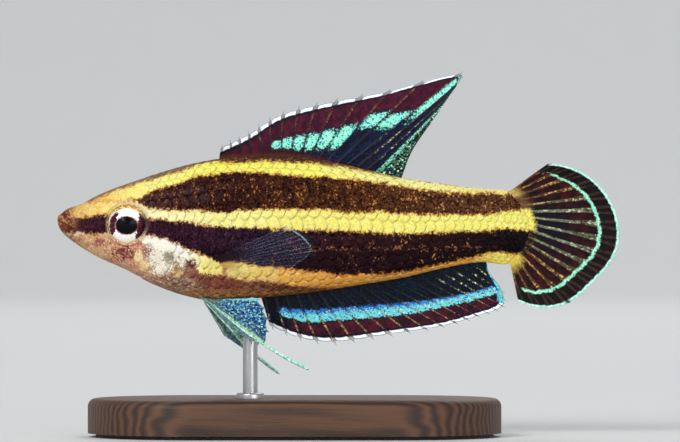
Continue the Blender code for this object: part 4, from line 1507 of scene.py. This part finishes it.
def thread_along(bm, line, radii):
    """A round thread along the line, with its ends closed."""
    ahead = np.gradient(line, axis=0)
    ahead /= np.linalg.norm(ahead, axis=1)[:, None]
    across = np.cross(ahead, (0.0, 1.0, 0.0))
    across /= np.linalg.norm(across, axis=1)[:, None]
    other = np.cross(ahead, across)
    for k, vert in enumerate(sorted_grid(bm, len(line), FILAMENT_AROUND + 1)):
        i, j = divmod(k, FILAMENT_AROUND + 1)
        turn = math.tau * (j % FILAMENT_AROUND) / FILAMENT_AROUND
        radius = radii[i] if 0 < i < len(line) - 1 else 0.0
        vert.co = (line[i] + (across[i] * math.cos(turn) + other[i] * math.sin(turn)) * radius) * MM
    bmesh.ops.remove_doubles(bm, verts=bm.verts, dist=SAME_PLACE)


pelvic_web, tree, shader = web_finish("pelvic_web")
place, _, base, _, ridge, along = web_reading(tree)
cell = cells(place, 11.0)
second = cells(place, 17.0)
flakes = ramp(cell, (0.0, (16, 30, 66)), (0.32, (24, 62, 128)), (0.50, (48, 112, 168)),
              (0.72, (104, 184, 206)), (0.93, (168, 226, 222)), kind="CONSTANT")
near_root = maths("MAXIMUM", fade(base, 1.3, 0.2), fade(along, 0.42, 0.08) * 0.8)
rays_shown = fade(ridge, 0.3, 0.7) * (0.25 + fade(along, 0.45, 0.05) * 0.6)
leading_ray = between(along, 0.16, 0.24, 0.02) * fade(cell, 0.1, 0.45)
dress(shader, Base_Color=layered(
    flakes,
    (fade(second, 0.7, 0.9), (20, 34, 60)),
    (near_root * 0.65, blend(second, (48, 60, 48), (134, 164, 124))),
    (rays_shown, blend(cell, (120, 150, 140), (198, 232, 214))),
    (leading_ray * 0.75, blend(second, (130, 186, 150), (218, 248, 206))),
    (fade(along, 0.90, 0.98) * fade(second, 0.2, 0.4), (142, 220, 226)),
))
relief(shader, cell, 0.012, 0.5)

filament_skin, tree, shader = web_finish("filament_skin")
cell = cells(millimetres(tree), 9.0)
flakes = ramp(cell, (0.0, (60, 120, 150)), (0.10, (128, 206, 190)), (0.36, (170, 238, 208)),
              (0.70, (236, 255, 244)), kind="CONSTANT")
dress(shader, Base_Color=flakes)
relief(shader, cell, 0.01, 0.4)

for side_name, hand in SIDES.items():
    angles = [-(angle + PELVIC_TURN[side_name]) for angle in PELVIC_ANGLES]
    pelvic_margin = fan_margin(PELVIC_RAYS, pelvic_root, PELVIC_LENGTHS, angles)

    def pelvic_side(number, share):
        run = pelvic_margin(number) - pelvic_root(number)
        return hand * (PELVIC_ROOT[1] + np.hypot(run[:, 0], run[:, 1]) * share * PELVIC_SPLAY)

    pelvic = fin_sheet(f"pelvic_sheet_{side_name}", PELVIC_RAYS, pelvic_root, pelvic_margin, pelvic_side,
                       pelvic_web, sunk=0.5, tip=0.25, scallop=-0.10)
    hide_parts(f"pelvic_fin_{side_name}")
    long_ray = np.array([float(LONG_RAY)])
    start = pelvic_root(long_ray)[0]
    run = pelvic_margin(long_ray)[0] - start
    heading = math.atan2(run[1], run[0]) + FILAMENT_LIFT
    ahead = np.array([math.cos(heading), math.sin(heading)])
    beside = np.array([ahead[1], -ahead[0]])
    share = np.linspace(0, 1, FILAMENT_STEPS)
    reach = FILAMENT_START + (FILAMENT_LENGTH[side_name] - FILAMENT_START) * share
    bow = FILAMENT_BOW * np.sin(math.pi * share)
    spots = start + reach[:, None] * ahead + bow[:, None] * beside
    out = hand * (PELVIC_ROOT[1] + reach * PELVIC_SPLAY)
    knots = np.stack([spots[:, 0] + SNOUT_X, out, spots[:, 1] + MOUTH_Z], -1)
    bm = bmesh.new()
    thread_along(bm, knots, FILAMENT_RADII(share)[:, 0])
    piece_from(mesh_from(bm, f"filament_{side_name}"), filament_skin)

# The floor is a plain pale sweep that rises all round, out of the model's reach. Two wide soft lamps
# in front and one above and behind light the model, as in a photographer's studio.

FLOOR_RADIUS = 0.75
SWEEP = 0.30
SWEEP_STEPS = 8
WALL = 0.80
AIM = Vector((0, 0, 0.0146))

floor_paint = finish("floor_paint", Base_Color=srgb((214, 215, 215)), Roughness=0.9,
                     Specular_IOR_Level=0.1)[0]
bm = bmesh.new()
profile = [(0, 0)]
for k in range(SWEEP_STEPS + 1):
    angle = math.pi / 2 * k / SWEEP_STEPS
    profile.append((FLOOR_RADIUS + SWEEP * math.sin(angle), SWEEP * (1 - math.cos(angle))))
profile.append((FLOOR_RADIUS + SWEEP, WALL))
points = [bm.verts.new((across, 0, height)) for across, height in profile]
lines = [bm.edges.new(pair) for pair in zip(points, points[1:])]
bmesh.ops.spin(bm, geom=points + lines, cent=(0, 0, 0), axis=(0, 0, 1), angle=math.tau, steps=96,
               use_merge=True)
bmesh.ops.remove_doubles(bm, verts=bm.verts, dist=1e-6)
floor_mesh = mesh_from(bm, "floor")
if floor_mesh.polygons[0].normal.z < 0:
    floor_mesh.flip_normals()
object_from(floor_mesh, floor_paint)


def soft_lamp(name, at, width, power):
    lamp = bpy.data.lights.new(name, "AREA")
    lamp.shape = "SQUARE"
    lamp.size = width
    lamp.energy = power
    holder = bpy.data.objects.new(name, lamp)
    holder.location = at
    holder.rotation_euler = (AIM - Vector(at)).to_track_quat("-Z", "Y").to_euler()
    bpy.context.scene.collection.objects.link(holder)


soft_lamp("key_lamp", (-0.42, -0.72, 0.52), 0.42, 5.7)
soft_lamp("fill_lamp", (0.50, -0.75, 0.10), 0.50, 3.0)
soft_lamp("back_lamp", (0.15, 0.62, 0.66), 0.42, 2.6)

sky = bpy.data.worlds.new("studio")
sky.use_nodes = True
background = sky.node_tree.nodes["Background"]
dress(background, Color=srgb((240, 242, 245)), Strength=0.5)
bpy.context.scene.world = sky
bpy.context.scene.view_settings.view_transform = "Standard"

# The camera looks level at the fish's left side, as the photograph does

PHOTO_PIXELS = 680
MM_FOR_A_PIXEL = 0.0676
PHOTO_MIDDLE = (0.07, 14.57)
CAMERA_DISTANCE = 0.40
SENSOR = 36.0

lens = bpy.data.cameras.new("camera")
lens.sensor_width = SENSOR
lens.lens = SENSOR * CAMERA_DISTANCE / (PHOTO_PIXELS * MM_FOR_A_PIXEL * MM)
camera = bpy.data.objects.new("camera", lens)
camera.location = (PHOTO_MIDDLE[0] * MM, -CAMERA_DISTANCE, PHOTO_MIDDLE[1] * MM)
camera.rotation_euler = (math.pi / 2, 0, 0)
bpy.context.scene.collection.objects.link(camera)
bpy.context.scene.camera = camera
